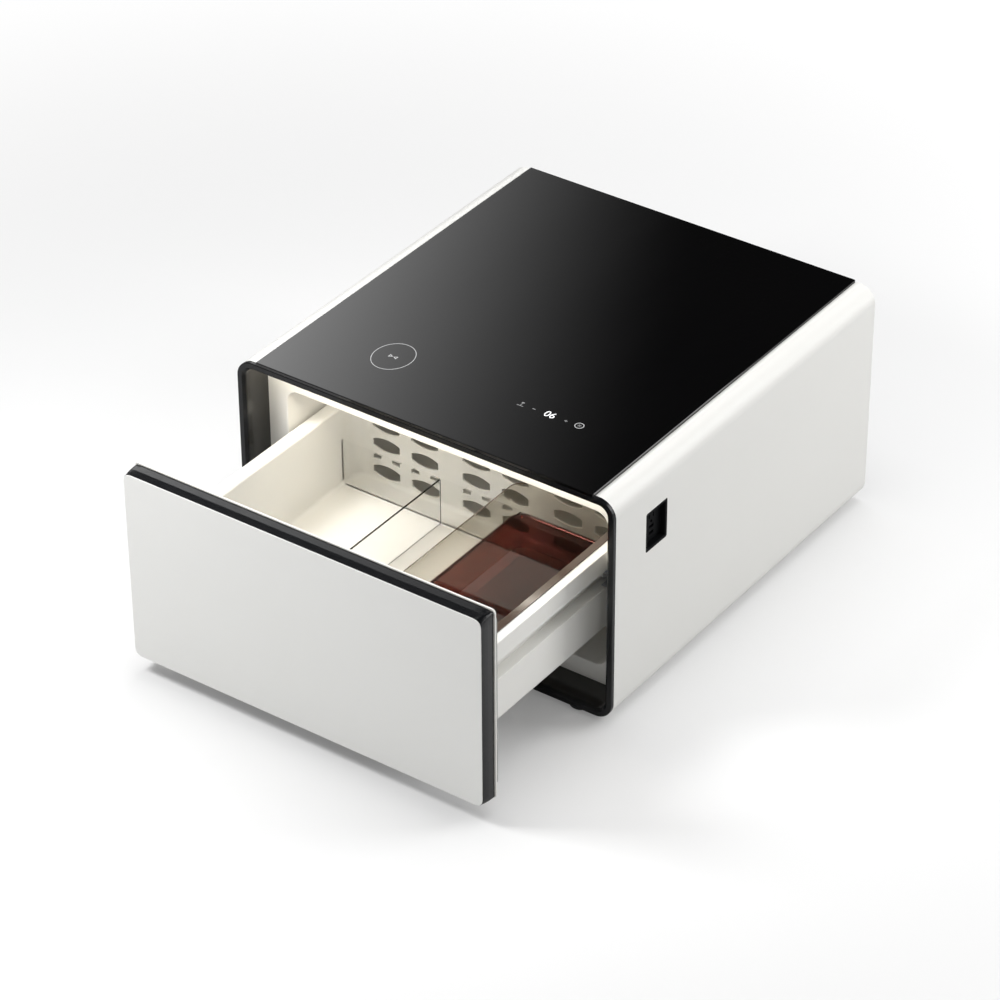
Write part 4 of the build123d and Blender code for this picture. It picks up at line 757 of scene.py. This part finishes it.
key = area_lamp("key_left", (-0.80, -1.08, 1.55), (-0.2, -0.59, 0.3), size=0.5, power=19.0)
area_lamp("fill_right", (2.2, 1.6, 2.0), (0.2, 0, 0.25), size=1.4, power=34.0)
overhead = area_lamp("top_soft", (0.1, 0.7, 3.0), (0, 0.1, 0.2), size=2.6, power=44.0)
# The key and overhead lamps stay out of the glossy faces, which show the soft wall of the surround instead
for lamp in (key, overhead):
    lamp.visible_glossy = False

# The bar's lamp hangs just in front of the bar and below it, and shines almost straight down
bar_low, bar_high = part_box("light_bar")
bar_y = (bar_low[1] + bar_high[1]) / 2
area_lamp("bar_light", (0, bar_y - 20 * MM, bar_low[2] - 2 * MM), (0, bar_y - 12 * MM, 0),
          size=0.74, power=0.64, colour=WARM, height=0.02)
area_lamp("cold_space_light", (0, -0.10, 0.372), (0, -0.12, 0),
          size=0.64, power=0.36, colour=WARM, height=0.14)


# The surround: polished faces see a bright soft wall behind on the left, and a low patch behind on the right

# A pair of numbers is where a smooth change starts and ends
EVEN_LEVEL = 0.44
DARK_LEVEL = 0.01
FRONT_GLOW = 0.25
LOWEST_RISE = 0.05
WALL_LEAN = (-3.345, -1.667, -0.636)
WALL_PEAK = 0.92
WALL_STRENGTH = 5.73
WALL_STEEPNESS = (0.88, 1.12)
WALL_HEIGHT = (0.30, 0.46)
PATCH_STRENGTH = 3.5
PATCH_ACROSS = (0.52, 0.62)
PATCH_HEIGHT = (0.50, 0.34)
PATCH_BEHIND = 0.25


def pale_surround():
    """An even pale surround with the wall and the patch for glossy rays, white to the camera."""
    world = bpy.data.worlds.new("pale_surround")
    bpy.context.scene.world = world
    world.use_nodes = True
    nodes = Nodes(world.node_tree)
    ray = nodes.add("ShaderNodeTexCoord", output="Generated")
    parts = nodes.add("ShaderNodeSeparateXYZ", None, {0: ray})
    across, along, up = (Value(nodes, socket) for socket in parts.socket.node.outputs)
    rise = up.math("MAXIMUM", LOWEST_RISE)
    lean_across, lean_along, lean_start = WALL_LEAN
    shine = ((across * lean_across + along * lean_along) / rise + lean_start).held(0.0, WALL_PEAK)
    wall = shine * shine * nodes.step(along / rise, *WALL_STEEPNESS) * nodes.step(up, *WALL_HEIGHT)
    behind = ((along - PATCH_BEHIND) / PATCH_BEHIND).held(0.0, 1.0)
    patch = nodes.step(across, *PATCH_ACROSS) * nodes.step(up, *PATCH_HEIGHT) * behind
    front = (along * -FRONT_GLOW).math("MAXIMUM", 0.0)
    strength = wall * WALL_STRENGTH + patch * PATCH_STRENGTH + front + DARK_LEVEL
    polished = nodes.add("ShaderNodeBackground", None, {"Color": grey(1.0), "Strength": strength})
    even = nodes.add("ShaderNodeBackground", None, {"Color": grey(1.0), "Strength": EVEN_LEVEL})
    white = nodes.add("ShaderNodeBackground", None, {"Color": grey(1.0), "Strength": 1.0})
    glossy = nodes.add("ShaderNodeLightPath", None, output="Is Glossy Ray")
    seen = nodes.add("ShaderNodeLightPath", None, output="Is Camera Ray")
    lit = nodes.add("ShaderNodeMixShader", None, {0: glossy, 1: even, 2: polished})
    whole = nodes.add("ShaderNodeMixShader", None, {0: seen, 1: lit, 2: white})
    nodes.feed(world.node_tree.nodes["World Output"].inputs["Surface"], whole)


pale_surround()


# The floor: its lift towards white grows with the distance from the object, so the weaker lift near the
# object paints a shade halo round it

FLOOR_WIDTH = 40
FLOOR_TONE = 0.75
LIFT_REACH = (1.1, 3.2)
LIFT_LEVELS = (0.13, 0.56)


def pale_floor():
    """A wide floor that keeps the object's shadow, with a painted shade halo near the object where its lift
    is weaker, and reads white to the camera further out.
    """
    deselect()
    bpy.ops.mesh.primitive_plane_add(size=FLOOR_WIDTH, location=(0, 0, 0))
    floor = bpy.context.object
    floor.name = "floor"
    finish = Finish("pale_floor", Base_Color=grey(FLOOR_TONE), Roughness=0.9, Specular_IOR_Level=0.0)
    away = finish.add("ShaderNodeVectorMath", {"operation": "LENGTH"}, {0: finish.place}, output="Value")
    glow = finish.add("ShaderNodeEmission", None, {
        "Color": grey(1.0), "Strength": finish.step(away, *LIFT_REACH, *LIFT_LEVELS)})
    seen = finish.add("ShaderNodeLightPath", None, output="Is Camera Ray")
    dark = finish.add("ShaderNodeEmission", None, {"Color": grey(0.0), "Strength": 0.0})
    lift = finish.add("ShaderNodeMixShader", None, {0: seen, 1: dark, 2: glow})
    lit = Value(finish, finish.shader.outputs[0])
    whole = finish.add("ShaderNodeAddShader", None, {0: lit, 1: lift})
    finish.feed(finish.output.inputs["Surface"], whole)
    give(floor, finish.material)


pale_floor()

bpy.context.scene.view_settings.view_transform = "Standard"
